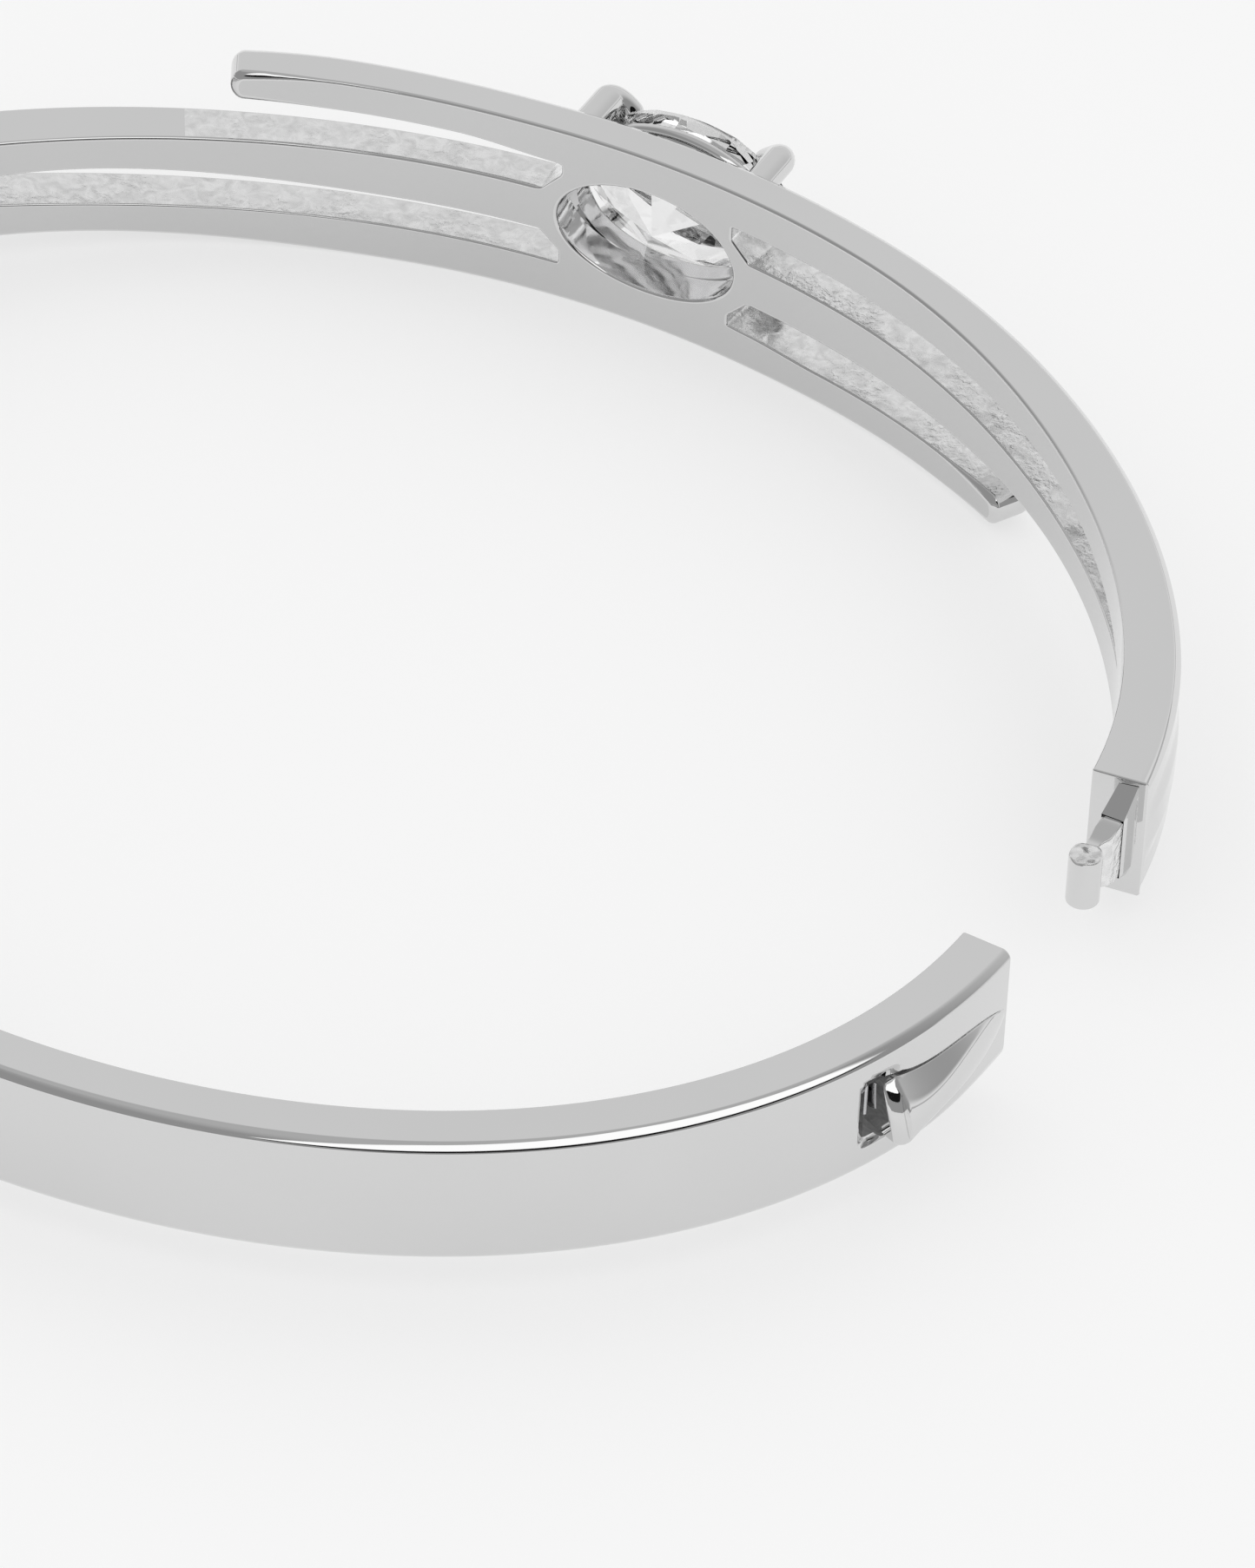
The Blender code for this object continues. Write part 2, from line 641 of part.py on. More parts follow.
def catch_mouth_corners():
    """Lead-in round the box, for the shoulders of the tongue."""
    corners = []
    for side in (-1, 1):
        for radial, reach, half in ((0.3, -0.1, 2.4), (1.82, -0.1, 2.4), (0.3, 0.75, BOX_HALF), (1.72, 0.75, BOX_HALF)):
            corners.append(catch_point(radial, reach, side * half))
    return corners


def dish_mesh():
    """Ball that sinks a shallow dish for the fingernail round the slot."""
    y, z = DISH_PLACE
    bm = bmesh.new()
    place = Matrix.Translation((wall_x(y, BACK_THICKNESS + DISH_RADIUS - DISH_DEPTH), y, z))
    bmesh.ops.create_uvsphere(bm, u_segments=48, v_segments=32, radius=DISH_RADIUS, matrix=place)
    mesh = bpy.data.meshes.new("nail_dish_cutter")
    bm.to_mesh(mesh)
    bm.free()
    return scaled_mesh(mesh)


def build_back_band(parts, cutters, pivot):
    start = OVAL.length_at(math.acos((CATCH_SPLIT_Y - CATCH_GAP) / OPENING_HALF_DEPTH))
    places = [start] + stations(start, BACK_HINGE_S) + [BACK_HINGE_S]
    outline = [(s, HALF_BAND) for s in places] + [(s, -HALF_BAND) for s in reversed(places)]
    mesh = curve_mesh("back_band", [outline], 1.0)
    slice_along(mesh, start, BACK_HINGE_S, SLICE)
    wrap(mesh, lambda s: BACK_THICKNESS)
    band = add_object("back_band", mesh, parts, SILVER, pivot)
    pin_centre = (wall_x(LEVER_PIVOT_Y, LEVER_PIVOT_RADIAL), LEVER_PIVOT_Y)
    window_low = wall_x(LEVER_FREE_Y, BOX_OUTER) - 0.4
    pin_half = LEVER_PIN_HALF + FIT
    tools = (
        scaled_mesh(curve_mesh("catch_box_cutter", [catch_box_outline()], BOX_HALF)),
        hull_mesh("catch_mouth_cutter", catch_mouth_corners()),
        radial_extrusion("lever_window_cutter", lever_outline(LEVER_GAP), window_low, 34.0),
        radial_extrusion("nail_slot_cutter", nail_slot_outline(), wall_x(BOX_END_Y, 1.0), 34.0),
        cylinder_mesh("lever_pin_cutter", LEVER_PIN_RADIUS + FIT, -pin_half, pin_half, pin_centre, 20),
        dish_mesh(),
    )
    for tool in tools:
        boolean(band, as_cutter(add_object(tool.name, tool, cutters, None, pivot)), "DIFFERENCE")


def build_catch(parts, cutters, pivot, lever_pivot):
    profile = scaled_mesh(curve_mesh("lever_profile", [lever_profile()], 1.6))
    lever = add_object("catch_lever", profile, parts, SILVER, lever_pivot)
    teardrop = radial_extrusion("lever_teardrop_cutter", lever_outline(), 29.0, 34.0)
    cutter = add_object("lever_teardrop_cutter", teardrop, cutters, None, lever_pivot)
    boolean(lever, as_cutter(cutter), "INTERSECT")
    centre = (wall_x(LEVER_PIVOT_Y, LEVER_PIVOT_RADIAL), LEVER_PIVOT_Y)
    bore = cylinder_mesh("lever_bore_cutter", LEVER_PIN_RADIUS + FIT, -3, 3, centre, 20)
    boolean(lever, as_cutter(add_object("lever_bore_cutter", bore, cutters, None, lever_pivot)), "DIFFERENCE")
    pin = cylinder_mesh("lever_pin", LEVER_PIN_RADIUS, -LEVER_PIN_HALF, LEVER_PIN_HALF, centre, 20)
    add_object("lever_pin", pin, parts, STEEL, pivot)


def build_leaf_spring(parts, pivot):
    """Bowed strip on the box floor that lifts the free end of the lever, drawn pressed down."""
    strip = []
    for u in steps_between(0, 1, 8):
        y = BOX_END_Y + 0.1 + 1.5 * u
        strip.append((wall_x(y, BOX_INNER + 0.06 + 0.6 * math.sin(math.pi * u)), y))
    outline = strip + [(x + 0.12, y) for x, y in reversed(strip)]
    mesh = scaled_mesh(curve_mesh("catch_spring", [outline], 0.7))
    add_object("catch_spring", mesh, parts, STEEL, pivot)


# ---------------------------------------------------------------- assembly

PARENT_PLACE = {}


def place_empty(name, place, collection):
    empty = bpy.data.objects.new(name, None)
    collection.objects.link(empty)
    empty.location = place
    PARENT_PLACE[name] = place
    return empty


clear_scene()
PARTS = new_collection("hinged_bangle")
CUTTERS = new_collection("cutters")
CUTTERS.hide_render = True

ROOT = place_empty("wrist_opening_centre", Vector((0, 0, 0)), PARTS)
ROOT.location = -Vector(ORIGIN) * MM
HINGE_PLACE = Vector((HINGE_X, HINGE_Y, 0)) * MM
back_half = place_empty("back_half_pivot", HINGE_PLACE, PARTS)
back_half.parent = ROOT
LEVER_PLACE = Vector((wall_x(LEVER_PIVOT_Y, LEVER_PIVOT_RADIAL), LEVER_PIVOT_Y, 0)) * MM
catch_pivot = place_empty("catch_lever_pivot", LEVER_PLACE, PARTS)
catch_pivot.parent = back_half
catch_pivot.location = LEVER_PLACE - HINGE_PLACE
back_half.rotation_euler = (0, 0, -math.radians(OPEN_ANGLE))

build_front_frame(PARTS, CUTTERS)
build_stone(PARTS)
build_collar(PARTS)
build_gallery_rail(PARTS)
build_prongs(PARTS, CUTTERS)
build_tongue(PARTS, CUTTERS)
build_hinge(PARTS, back_half)
build_back_band(PARTS, CUTTERS, back_half)
build_catch(PARTS, CUTTERS, back_half, catch_pivot)
build_leaf_spring(PARTS, back_half)
bpy.context.view_layer.update()
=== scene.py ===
"""Looks of the hinged bangle: polished silver bars with rounded edges, rough cast slots, a cut stone
and a lever catch, on a pale floor under soft light.

Shapes are drawn in millimetres about the centre of the wrist opening, with the back half shut. The
hinge joint and the band's height in the frame give the place of that centre and the opening angle.
Band pieces are drawn flat, in s (length along the inner surface from the stone towards the catch),
z (height) and t (place through the band), and are then wrapped round the oval.
"""

import json
import math

import bmesh
import bpy
import numpy as np
from mathutils import Matrix, Vector
from mathutils.geometry import delaunay_2d_cdt
from mathutils.kdtree import KDTree


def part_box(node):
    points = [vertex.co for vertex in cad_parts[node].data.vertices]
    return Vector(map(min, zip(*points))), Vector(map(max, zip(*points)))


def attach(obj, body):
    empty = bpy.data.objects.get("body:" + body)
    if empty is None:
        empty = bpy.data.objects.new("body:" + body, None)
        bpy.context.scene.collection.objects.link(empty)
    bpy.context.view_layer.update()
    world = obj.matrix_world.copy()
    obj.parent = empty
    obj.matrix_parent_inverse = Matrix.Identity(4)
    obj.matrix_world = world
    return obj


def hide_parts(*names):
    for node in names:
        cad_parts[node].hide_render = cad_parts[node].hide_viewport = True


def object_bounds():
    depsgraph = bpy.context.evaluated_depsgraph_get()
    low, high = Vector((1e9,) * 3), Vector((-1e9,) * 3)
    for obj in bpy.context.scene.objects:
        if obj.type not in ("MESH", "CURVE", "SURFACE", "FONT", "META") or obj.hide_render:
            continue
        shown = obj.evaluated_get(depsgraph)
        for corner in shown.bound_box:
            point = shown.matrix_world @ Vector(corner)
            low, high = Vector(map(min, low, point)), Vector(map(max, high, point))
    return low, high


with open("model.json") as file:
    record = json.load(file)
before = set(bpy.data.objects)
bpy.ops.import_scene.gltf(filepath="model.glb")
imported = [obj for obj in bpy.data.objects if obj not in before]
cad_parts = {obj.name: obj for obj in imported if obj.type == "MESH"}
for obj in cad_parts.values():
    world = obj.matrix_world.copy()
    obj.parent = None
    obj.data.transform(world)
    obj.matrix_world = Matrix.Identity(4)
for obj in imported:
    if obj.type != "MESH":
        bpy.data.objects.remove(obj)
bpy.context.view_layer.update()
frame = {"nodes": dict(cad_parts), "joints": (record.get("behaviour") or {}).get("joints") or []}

MM = 0.001

# Band
OPENING_HALF_LENGTH = 30.0
OPENING_HALF_DEPTH = 24.3
HALF_BAND = 2.7
BAND_THICKNESS = 2.15
PLATE_THICKNESS = 1.75
BACK_THICKNESS = 2.0
BACK_FACE = BACK_THICKNESS - 0.008
CATCH_SPLIT_Y = 2.4
CATCH_GAP = 0.1
HINGE_Y = -2.4
HINGE_X = -(OPENING_HALF_LENGTH + BACK_THICKNESS / 2)
HINGE_END = 1.5
STEP = 0.6
SHARP_TURN = 25
SWELL = 0.16

# Bypass bars
BAR_RISE = 1.35
MIDDLE_HALF = 1.05
RIM_BLEND = 0.4
SLOT_LOW = 0.95
SLOT_HIGH = 2.35
SLOT_TIP = (31.6, 0.2)
SLOT_END_NEAR = 3.7
SLOT_END_FAR = 4.55
UPPER_TIP = 16.9
LOWER_TIP = 18.3
FREE_BAR_LOW = 2.68
TIP_LIFT = 0.3

# Rounding of the edges: rim outside and inside, and slot outside and inside
RIM_OUT = 0.42
RIM_IN = 0.14
SLOT_OUT = 0.10
SLOT_IN = 0.09
TIP_OUT = 0.55
TIP_IN = 0.32
BACK_RIM = 0.38
BACK_INNER_RIM = 0.12

# Stone and setting
HOLE_HALF = (3.84, 2.33)
STONE_HALF = (4.5, 3.5)
GIRDLE_Y = 28.0
TABLE_Y = 29.05
CULET_Y = 24.75
TABLE_SHARE = 0.57
COLLAR_WALL = 0.5
COLLAR_TOP_Y = 26.75
RAIL_HALF = (4.3, 3.3)
RAIL_Y = 27.0
RAIL_RADIUS = 0.26
PRONG_RADIUS = 0.62
PRONG_FOOT = (3.72, 3.05)
PRONG_TIP = (2.95, 2.35)
PRONG_TOP_Y = 28.95

# Hinge
KNUCKLE_RADIUS = 1.3
PIN_RADIUS = 0.5
KNUCKLE_SPLIT = 0.95

# Tongue and hook bar; outlines are given as (radial, reach past the split), corners with a height too
HOOK_REACH = 2.57
TONGUE_INNER = 0.80
TONGUE_OUTER = 1.66
TONGUE_HALF = 1.35
TONGUE_OUTLINE = (
    (TONGUE_INNER, -0.6),
    (TONGUE_OUTER, -0.6),
    (TONGUE_OUTER, 1.0),
    (TONGUE_OUTER - 0.06, 1.45),
    (TONGUE_OUTER - 0.2, 1.66),
    (1.38, 1.82),
    (1.36, 2.0),
    (1.42, HOOK_REACH),
    (0.9, HOOK_REACH),
    (0.86, 2.0),
    (0.84, 1.7),
    (TONGUE_INNER, 1.2),
)
SHOULDER = {
    "face_in": (0.78, -0.4, 1.35),
    "top_in": (1.05, -0.12, 2.42),
    "top_out": (1.80, -0.19, 2.5),
    "face_out": (1.77, -0.4, 1.35),
    "crease_in": (0.78, 0.6, 1.37),
    "crease_out": (1.68, 0.6, 1.37),
}
LOW_SHOULDER = {"top_in": (1.0, -0.2, 1.8), "top_out": (1.6, -0.2, 1.8)}
HOOK_RADIAL = 1.15
HOOK_RADIUS = 0.63
HOOK_HALF = 1.1

# Catch box and lever
BOX_INNER = 0.28
BOX_OUTER = 1.80
BOX_HALF = 1.5
BOX_END_Y = -5.1
SLOT_END_Y = -4.62
BEYOND_X = 34
LEVER_ROOT_Y = 2.05
LEVER_FREE_Y = -4.1
LEVER_HALF = ((2.05, 0.12), (1.5, 0.45), (0.5, 0.66), (-1.4, 0.84), (-2.8, 1.08), (-3.6, 1.27))
LEVER_RISE = (0.04, 1.04)
LEVER_GAP = 0.09
LEVER_DROP = 0.2
LEVER_FULLER = 1.12

# Camera, about the centre of the wrist opening
CAMERA_AZIMUTH = 26.29
CAMERA_ELEVATION = 40.93
CAMERA_ROLL = 2.854
CAMERA_PLACE = (151.84, -282.34, 269.11)
SENSOR_WIDTH = 11.115
LENS = 100.0

# Brightness of the studio
DAYLIGHT = 1.02
SKY_DARK = 0.37
SKY_LIGHT = 0.80
HORIZON = 0.92
ZENITH = 0.55
SWEEP_FOOT = 0.55
FLOOR_GLOW = 0.56
RECESS_GLOW = 0.05

# Lamp and dark gap of the studio: height, half height and half width as parts of a unit sphere
LAMP = (0.62, 0.34, 0.52)
LAMP_FOOT = (0.63, 0.65)
LAMP_LEVEL = 1.4
GAP = (0.56, 0.17, 0.52)
GAP_LEVEL = 0.01
LAMP_ASIDE = -0.28

# Materials
# Darkening of the base colour on the inner face of the front band: painted shade
INNER_PAINTED_SHADE = 0.87
STONE_IOR = 1.77

HINGE_JOINT = next(j for j in frame["joints"] if j["name"] == "back_half_hinge")
OPEN_ANGLE = -HINGE_JOINT["range_deg"][0]
CENTRE = Vector(HINGE_JOINT["pos_m"]) - Vector((HINGE_X, HINGE_Y, 0)) * MM
CENTRE.z = (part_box("back_band")[0].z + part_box("back_band")[1].z) / 2


def smooth(u):
    """Rises from 0 to 1 between 0 and 1, level at both ends."""
    u = min(max(u, 0.0), 1.0)
    return u * u * (3 - 2 * u)


def steps_between(first, last, count):
    return [first + (last - first) * k / count for k in range(count + 1)]


class Oval:
    """The inner surface of the band, measured by its length from the stone."""

    def __init__(self, half_length, half_depth, steps=14400):
        self.angles = np.linspace(-2 * math.pi, 2 * math.pi, 2 * steps + 1)
        self.size = (half_length, half_depth)
        points = np.stack((np.sin(self.angles), np.cos(self.angles)), axis=1) * np.array(self.size)
        run = np.hypot(*np.diff(points, axis=0).T)
        self.lengths = np.concatenate(((0.0,), np.cumsum(run)))
        self.lengths -= self.lengths[steps]

    def angle(self, s):
        return float(np.interp(s, self.lengths, self.angles))

    def length_at(self, angle):
        return float(np.interp(angle, self.angles, self.lengths))

    def axes(self, s):
        """Inner point, direction along s, and outward direction."""
        angle = self.angle(s)
        a, b = self.size
        inner = Vector((a * math.sin(angle), b * math.cos(angle), 0))
        outward = Vector((b * math.sin(angle), a * math.cos(angle), 0)).normalized()
        return inner, Vector((outward.y, -outward.x, 0)), outward

    def wrap(self, place, normal):
        """World place and normal of a flat one given as (s, z, t)."""
        inner, along, outward = self.axes(place[0])
        point = inner + outward * place[2] + Vector((0, 0, place[1]))
        return point, along * normal[0] + Vector((0, 0, normal[1])) + outward * normal[2]


OVAL = Oval(OPENING_HALF_LENGTH, OPENING_HALF_DEPTH)
CATCH_S = OVAL.length_at(math.acos(CATCH_SPLIT_Y / OPENING_HALF_DEPTH))
FRONT_HINGE_S = OVAL.length_at(-math.acos((HINGE_Y + HINGE_END) / OPENING_HALF_DEPTH))
BACK_START_S = OVAL.length_at(math.acos((CATCH_SPLIT_Y - CATCH_GAP) / OPENING_HALF_DEPTH))
BACK_HINGE_S = OVAL.length_at(2 * math.pi - math.acos((HINGE_Y - HINGE_END) / OPENING_HALF_DEPTH))
SPLIT_X = OPENING_HALF_LENGTH * math.sqrt(1 - (CATCH_SPLIT_Y / OPENING_HALF_DEPTH) ** 2)


def length_at_y(y):
    """Length along the band at a Y on the catch side."""
    return OVAL.length_at(math.acos(y / OPENING_HALF_DEPTH))


def wall_x(y, radial):
    """X on the catch side at a Y and some way out from the inner surface."""
    return OPENING_HALF_LENGTH * math.sqrt(1 - (y / OPENING_HALF_DEPTH) ** 2) + radial


# ---- solids from flat outlines


def soften(loop, radius):
    """Replaces each corner sharper than SHARP_TURN degrees by a small arc."""
    softened = []
    for k, here in enumerate(loop):
        before, after = Vector(loop[k - 1][:2]), Vector(loop[(k + 1) % len(loop)][:2])
        corner = Vector(here[:2])
        into, out = (corner - before), (after - corner)
        turn = abs(math.degrees(into.angle_signed(out, 0)))
        reach = min(radius, into.length * 0.45, out.length * 0.45)
        if turn < SHARP_TURN:
            softened.append(here)
            continue
        first, last = corner - into.normalized() * reach, corner + out.normalized() * reach
        for u in steps_between(0, 1, 4):
            point = first.lerp(corner, u).lerp(corner.lerp(last, u), u)
            softened.append((point.x, point.y, *here[2:]))
    return softened


def inward_normals(loop):
    """In-plane directions towards the solid, which lies left of the way round, with a mitre length."""
    count = len(loop)
    points = np.array([p[:2] for p in loop], float)
    along = np.roll(points, -1, axis=0) - points
    along /= np.maximum(np.linalg.norm(along, axis=1, keepdims=True), 1e-9)
    left = np.stack((-along[:, 1], along[:, 0]), axis=1)
    normals = []
    for k in range(count):
        both = left[k - 1] + left[k]
        length = float(np.linalg.norm(both))
        both = both / max(length, 1e-6)
        mitre = min(1.6, 1 / max(0.4, float(both @ left[k])))
        normals.append((both, mitre))
    return normals


def signed_area(loop):
    return sum(a[0] * b[1] - b[0] * a[1] for a, b in zip(loop, loop[1:] + loop[:1])) / 2


def lean(a, radius):
    """Direction that a rounded edge faces: a narrow one turns evenly, a wide one is more like a bevel."""
    w = a / (math.pi / 4) - 1
    share = smooth((radius - 0.15) / 0.2)
    bevel = math.copysign(abs(w) ** 2.2, w)
    return math.pi / 4 * (1 + w + (bevel - w) * share + 0.14 * (1 - w * w) * share)


def unbent(flat, normal):
    """Leaves a drawn place and its normal as they are."""
    return Vector(flat), Vector(normal)


class Solid:
    """Collects points, each with its own normal, and the faces between them."""

    def __init__(self, place=unbent):
        self.place = place
        self.points = []
        self.normals = []
        self.faces = []
        self.slots = []

    def add(self, flat, normal):
        point, turned = self.place(flat, normal)
        self.points.append(point)
        self.normals.append(turned.normalized())
        return len(self.points) - 1

    def face(self, corners, slot=0):
        self.faces.append(corners)
        self.slots.append(slot)

    def skin(self, rings, flip=False):
        """Adds the faces between each ring of points and the next."""
        for one, two in zip(rings, rings[1:]):
            for k in range(len(one)):
                n = (k + 1) % len(one)
                quad = [one[k], one[n], two[n], two[k]]
                self.face(quad[::-1] if flip else quad)


def with_slope(height, u, v):
    """Height at a place and its slopes along u and v."""
    e = 0.02
    slope_u = (height(u + e, v) - height(u - e, v)) / (2 * e)
    slope_v = (height(u, v + e) - height(u, v - e)) / (2 * e)
    return height(u, v), slope_u, slope_v


def within(points, loops):
    """Which points lie inside the outer loop and outside the holes."""
    starts = np.concatenate([np.array(loop) for loop in loops])
    ends = np.concatenate([np.roll(np.array(loop), -1, axis=0) for loop in loops])
    u, v = points[:, :1], points[:, 1:]
    crosses = (starts[:, 1] > v) != (ends[:, 1] > v)
    rise = np.where(ends[:, 1] == starts[:, 1], 1e-12, ends[:, 1] - starts[:, 1])
    at = starts[:, 0] + (v - starts[:, 1]) * (ends[:, 0] - starts[:, 0]) / rise
    return ((crosses & (u < at)).sum(axis=1) % 2) == 1


def fill_face(solid, rings, flats, height, sign, grid, fine, slot):
    """Triangulates one flat side between its rings, with a grid of points inside."""
    coords, indices, edges = [], [], []
    for ring, flat in zip(rings, flats):
        start = len(coords)
        coords += flat
        indices += ring
        edges += [(start + k, start + (k + 1) % len(ring)) for k in range(len(ring))]
    tree = KDTree(len(coords))
    for k, (u, v) in enumerate(coords):
        tree.insert((u, v, 0), k)
    tree.balance()
    low, high = np.min(coords, axis=0), np.max(coords, axis=0)
    inside = []
    regions = [(low, high, grid)] + [(np.array(f[0]), np.array(f[1]), f[2]) for f in fine]
    for number, (first, last, (du, dv)) in enumerate(regions):
        for u in np.arange(first[0] + du / 2, last[0], du):
            for v in np.arange(first[1] + dv / 2, last[1], dv):
                if number == 0 and any(f[0][0] < u < f[1][0] and f[0][1] < v < f[1][1] for f in fine):
                    continue
                if tree.find((u, v, 0))[2] > 0.45 * min(du, dv):
                    inside.append((float(u), float(v)))
    vectors = [Vector(c) for c in coords + inside]
    made = delaunay_2d_cdt(vectors, edges, [], 1, 1e-7)
    place, triangles, origins = made[0], made[2], made[3]
    middles = np.array([[sum(place[k][axis] for k in t) / 3 for axis in (0, 1)] for t in triangles])
    lookup = {}
    for triangle, kept in zip(triangles, within(middles, flats)):
        if not kept:
            continue
        corners = []
        for k in triangle:
            if k not in lookup:
                known = [o for o in origins[k] if o < len(indices)]
                if known:
                    lookup[k] = indices[known[0]]
                else:
                    u, v = place[k]
                    w, slope_u, slope_v = with_slope(height, u, v)
                    lookup[k] = solid.add((u, v, w), (-slope_u * sign, -slope_v * sign, sign))
            corners.append(lookup[k])
        solid.face(corners if sign > 0 else corners[::-1], slot)


def rounded_solid(name, loops, top, bottom, place=unbent, grid=(STEP, 0.5), fine=(), segments=6, under=0):
    """A solid between two height functions over a flat outline with holes.

    loops: lists of (u, v, top radius, bottom radius, wall slot), the outer one first.
    top and bottom: functions of u and v that give a height.
    """
    solid = Solid(place)
    inner_rings, inner_flats = {1: [], -1: []}, {1: [], -1: []}
    for number, loop in enumerate(loops):
        turn = signed_area(loop)
        if (turn > 0) != (number == 0):
            loop = loop[::-1]
        normals = inward_normals(loop)
        stacks = {}
        for sign, height, which in ((1, top, 2), (-1, bottom, 3)):
            rings = []
            for j in range(segments + 1):
                a = math.pi / 2 * j / segments
                ring, flat = [], []
                for corner, (inward, mitre) in zip(loop, normals):
                    radius = corner[which]
                    inset = radius * (1 - math.cos(a)) * mitre
                    u, v = corner[0] + inward[0] * inset, corner[1] + inward[1] * inset
                    w, slope_u, slope_v = with_slope(height, u, v)
                    w -= sign * radius * (1 - math.sin(a))
                    flat.append((u, v))
                    facing = lean(a, radius)
                    out = -inward * math.cos(facing)
                    tilt = math.sin(facing)
                    normal = (out[0] - slope_u * sign * tilt, out[1] - slope_v * sign * tilt, sign * tilt)
                    ring.append(solid.add((u, v, w), normal))
                rings.append(ring)
            stacks[sign] = rings
            inner_rings[sign].append(rings[-1])
            inner_flats[sign].append(flat)
        for sign, rings in stacks.items():
            solid.skin(rings, flip=sign < 0)
        low, high = stacks[-1][0], stacks[1][0]
        for k in range(len(loop)):
            n = (k + 1) % len(loop)
            solid.face([low[k], low[n], high[n], high[k]], loop[k][4])
    fill_face(solid, inner_rings[1], inner_flats[1], top, 1, grid, fine, 0)
    fill_face(solid, inner_rings[-1], inner_flats[-1], bottom, -1, grid, (), under)
    return mesh_of(name, solid)


def slab(name, loops, low, high, grid=(STEP, 0.5), segments=6, place=unbent):
    """A rounded solid between two even heights."""
    return rounded_solid(name, loops, lambda u, v: high, lambda u, v: low, place, grid, segments=segments)


def oval_loop(half, count, *rest, centre=(0, 0)):
    """Outline points round an oval, each followed by its edge radii and wall slot."""
    angles = [2 * math.pi * k / count for k in range(count)]
    return [(centre[0] + half[0] * math.cos(a), centre[1] + half[1] * math.sin(a), *rest) for a in angles]


def circle(centre, radius, count, *rest):
    return oval_loop((radius, radius), count, *rest, centre=centre)


def swept(name, places, section, end_radius, place):
    """A bar with the given section at each place along it, its ends closed with a small rounding.

    section(s) gives the points (z, t, normal as (s, z, t)) round the bar, the same number each time.
    """
    solid = Solid(place)
    turns = steps_between(0, math.pi / 2, 3)
    ends = [(end_radius * (1 - math.cos(a)), end_radius * (1 - math.sin(a)), a) for a in turns]
    stages = [(places[0] + along, inset, a, -1) for along, inset, a in ends]
    stages += [(s, 0.0, math.pi / 2, 1) for s in places[1:-1]]
    stages += [(places[-1] - along, inset, a, 1) for along, inset, a in ends[::-1]]
    rings = []
    for s, inset, a, end in stages:
        ring = []
        for z, t, (ns, nz, nt) in section(s):
            normal = (ns * math.sin(a) + end * math.cos(a), nz * math.sin(a), nt * math.sin(a))
            ring.append(solid.add((s, z - nz * inset, t - nt * inset), normal))
        rings.append(ring)
    solid.skin(rings)
    solid.face(rings[0][::-1])
    solid.face(rings[-1])
    return mesh_of(name, solid)


def mesh_of(name, solid):
    """Mesh of a Solid, with its normals kept on the corners so that a cut doesn't lose them."""
    mesh = bpy.data.meshes.new(name)
    volume = 0.0
    for corners in solid.faces:
        a = solid.points[corners[0]]
        for k in range(1, len(corners) - 1):
            volume += a.dot(solid.points[corners[k]].cross(solid.points[corners[k + 1]]))
    faces = [f[::-1] for f in solid.faces] if volume < 0 else solid.faces
    mesh.from_pydata([tuple(p * MM) for p in solid.points], [], faces)
    mesh.polygons.foreach_set("material_index", solid.slots)
    mesh.polygons.foreach_set("use_smooth", [True] * len(mesh.polygons))
    kept = mesh.attributes.new("shade_normal", "FLOAT_VECTOR", "CORNER")
    flat = []
    for loop in mesh.loops:
        flat.extend(solid.normals[loop.vertex_index])
    kept.data.foreach_set("vector", flat)
    shade(mesh)
    return mesh


def shade(mesh):
    """Turns the kept normals into the mesh's own; a face left by a cutter is shaded flat."""
    kept = mesh.attributes.get("shade_normal")
    if kept is None:
        return
    values = np.empty(len(mesh.loops) * 3, np.float32)
    kept.data.foreach_get("vector", values)
    values = values.reshape(-1, 3)
    lengths = np.linalg.norm(values, axis=1)
    corner_normals = np.zeros_like(values)
    for polygon in mesh.polygons:
        for k in polygon.loop_indices:
            own = values[k] / lengths[k] if lengths[k] > 0.5 else np.array(polygon.normal)
            corner_normals[k] = own if own @ np.array(polygon.normal) > -0.2 else np.array(polygon.normal)
    mesh.polygons.foreach_set("use_smooth", [True] * len(mesh.polygons))
    mesh.normals_split_custom_set([tuple(n) for n in corner_normals])


def in_scene(name, data):
    """A new object in the scene that shows a mesh or a camera."""
    obj = bpy.data.objects.new(name, data)
    bpy.context.scene.collection.objects.link(obj)
    return obj


def cut(mesh, cutters):
    """The mesh less each cutter mesh, with its shading kept."""
    obj = in_scene("cut_work", mesh)
    tools = []
    for cutter in cutters:
        tool = in_scene("cut_tool", cutter)
        modifier = obj.modifiers.new("cut", "BOOLEAN")
        modifier.operation = "DIFFERENCE"
        modifier.object = tool
        tools.append(tool)
    bpy.context.view_layer.update()
    graph = bpy.context.evaluated_depsgraph_get()
    done = obj.evaluated_get(graph)
    made = bpy.data.meshes.new_from_object(done, preserve_all_data_layers=True, depsgraph=graph)
    made.name = mesh.name
    for extra in tools + [obj]:
        bpy.data.objects.remove(extra)
    shade(made)
    return made


def mesh_from(name, bm, slot):
    """Mesh of a body drawn in millimetres, with its faces turned outwards."""
    bmesh.ops.recalc_face_normals(bm, faces=bm.faces)
    for face in bm.faces:
        face.material_index = slot
    bm.transform(Matrix.Scale(MM, 4))
    mesh = bpy.data.meshes.new(name)
    bm.to_mesh(mesh)
    bm.free()
    return mesh


def prism(name, outline, low, high, turn=None):
    """A plain prism over an outline, used as a cutter."""
    bm = bmesh.new()
    bottom, top = ([bm.verts.new((x, y, level)) for x, y in outline] for level in (low, high))
    bm.faces.new(bottom[::-1])
    bm.faces.new(top)
    for k in range(len(outline)):
        n = (k + 1) % len(outline)
        bm.faces.new((bottom[k], bottom[n], top[n], top[k]))
    if turn is not None:
        bm.transform(turn)
    return mesh_from(name, bm, 1)


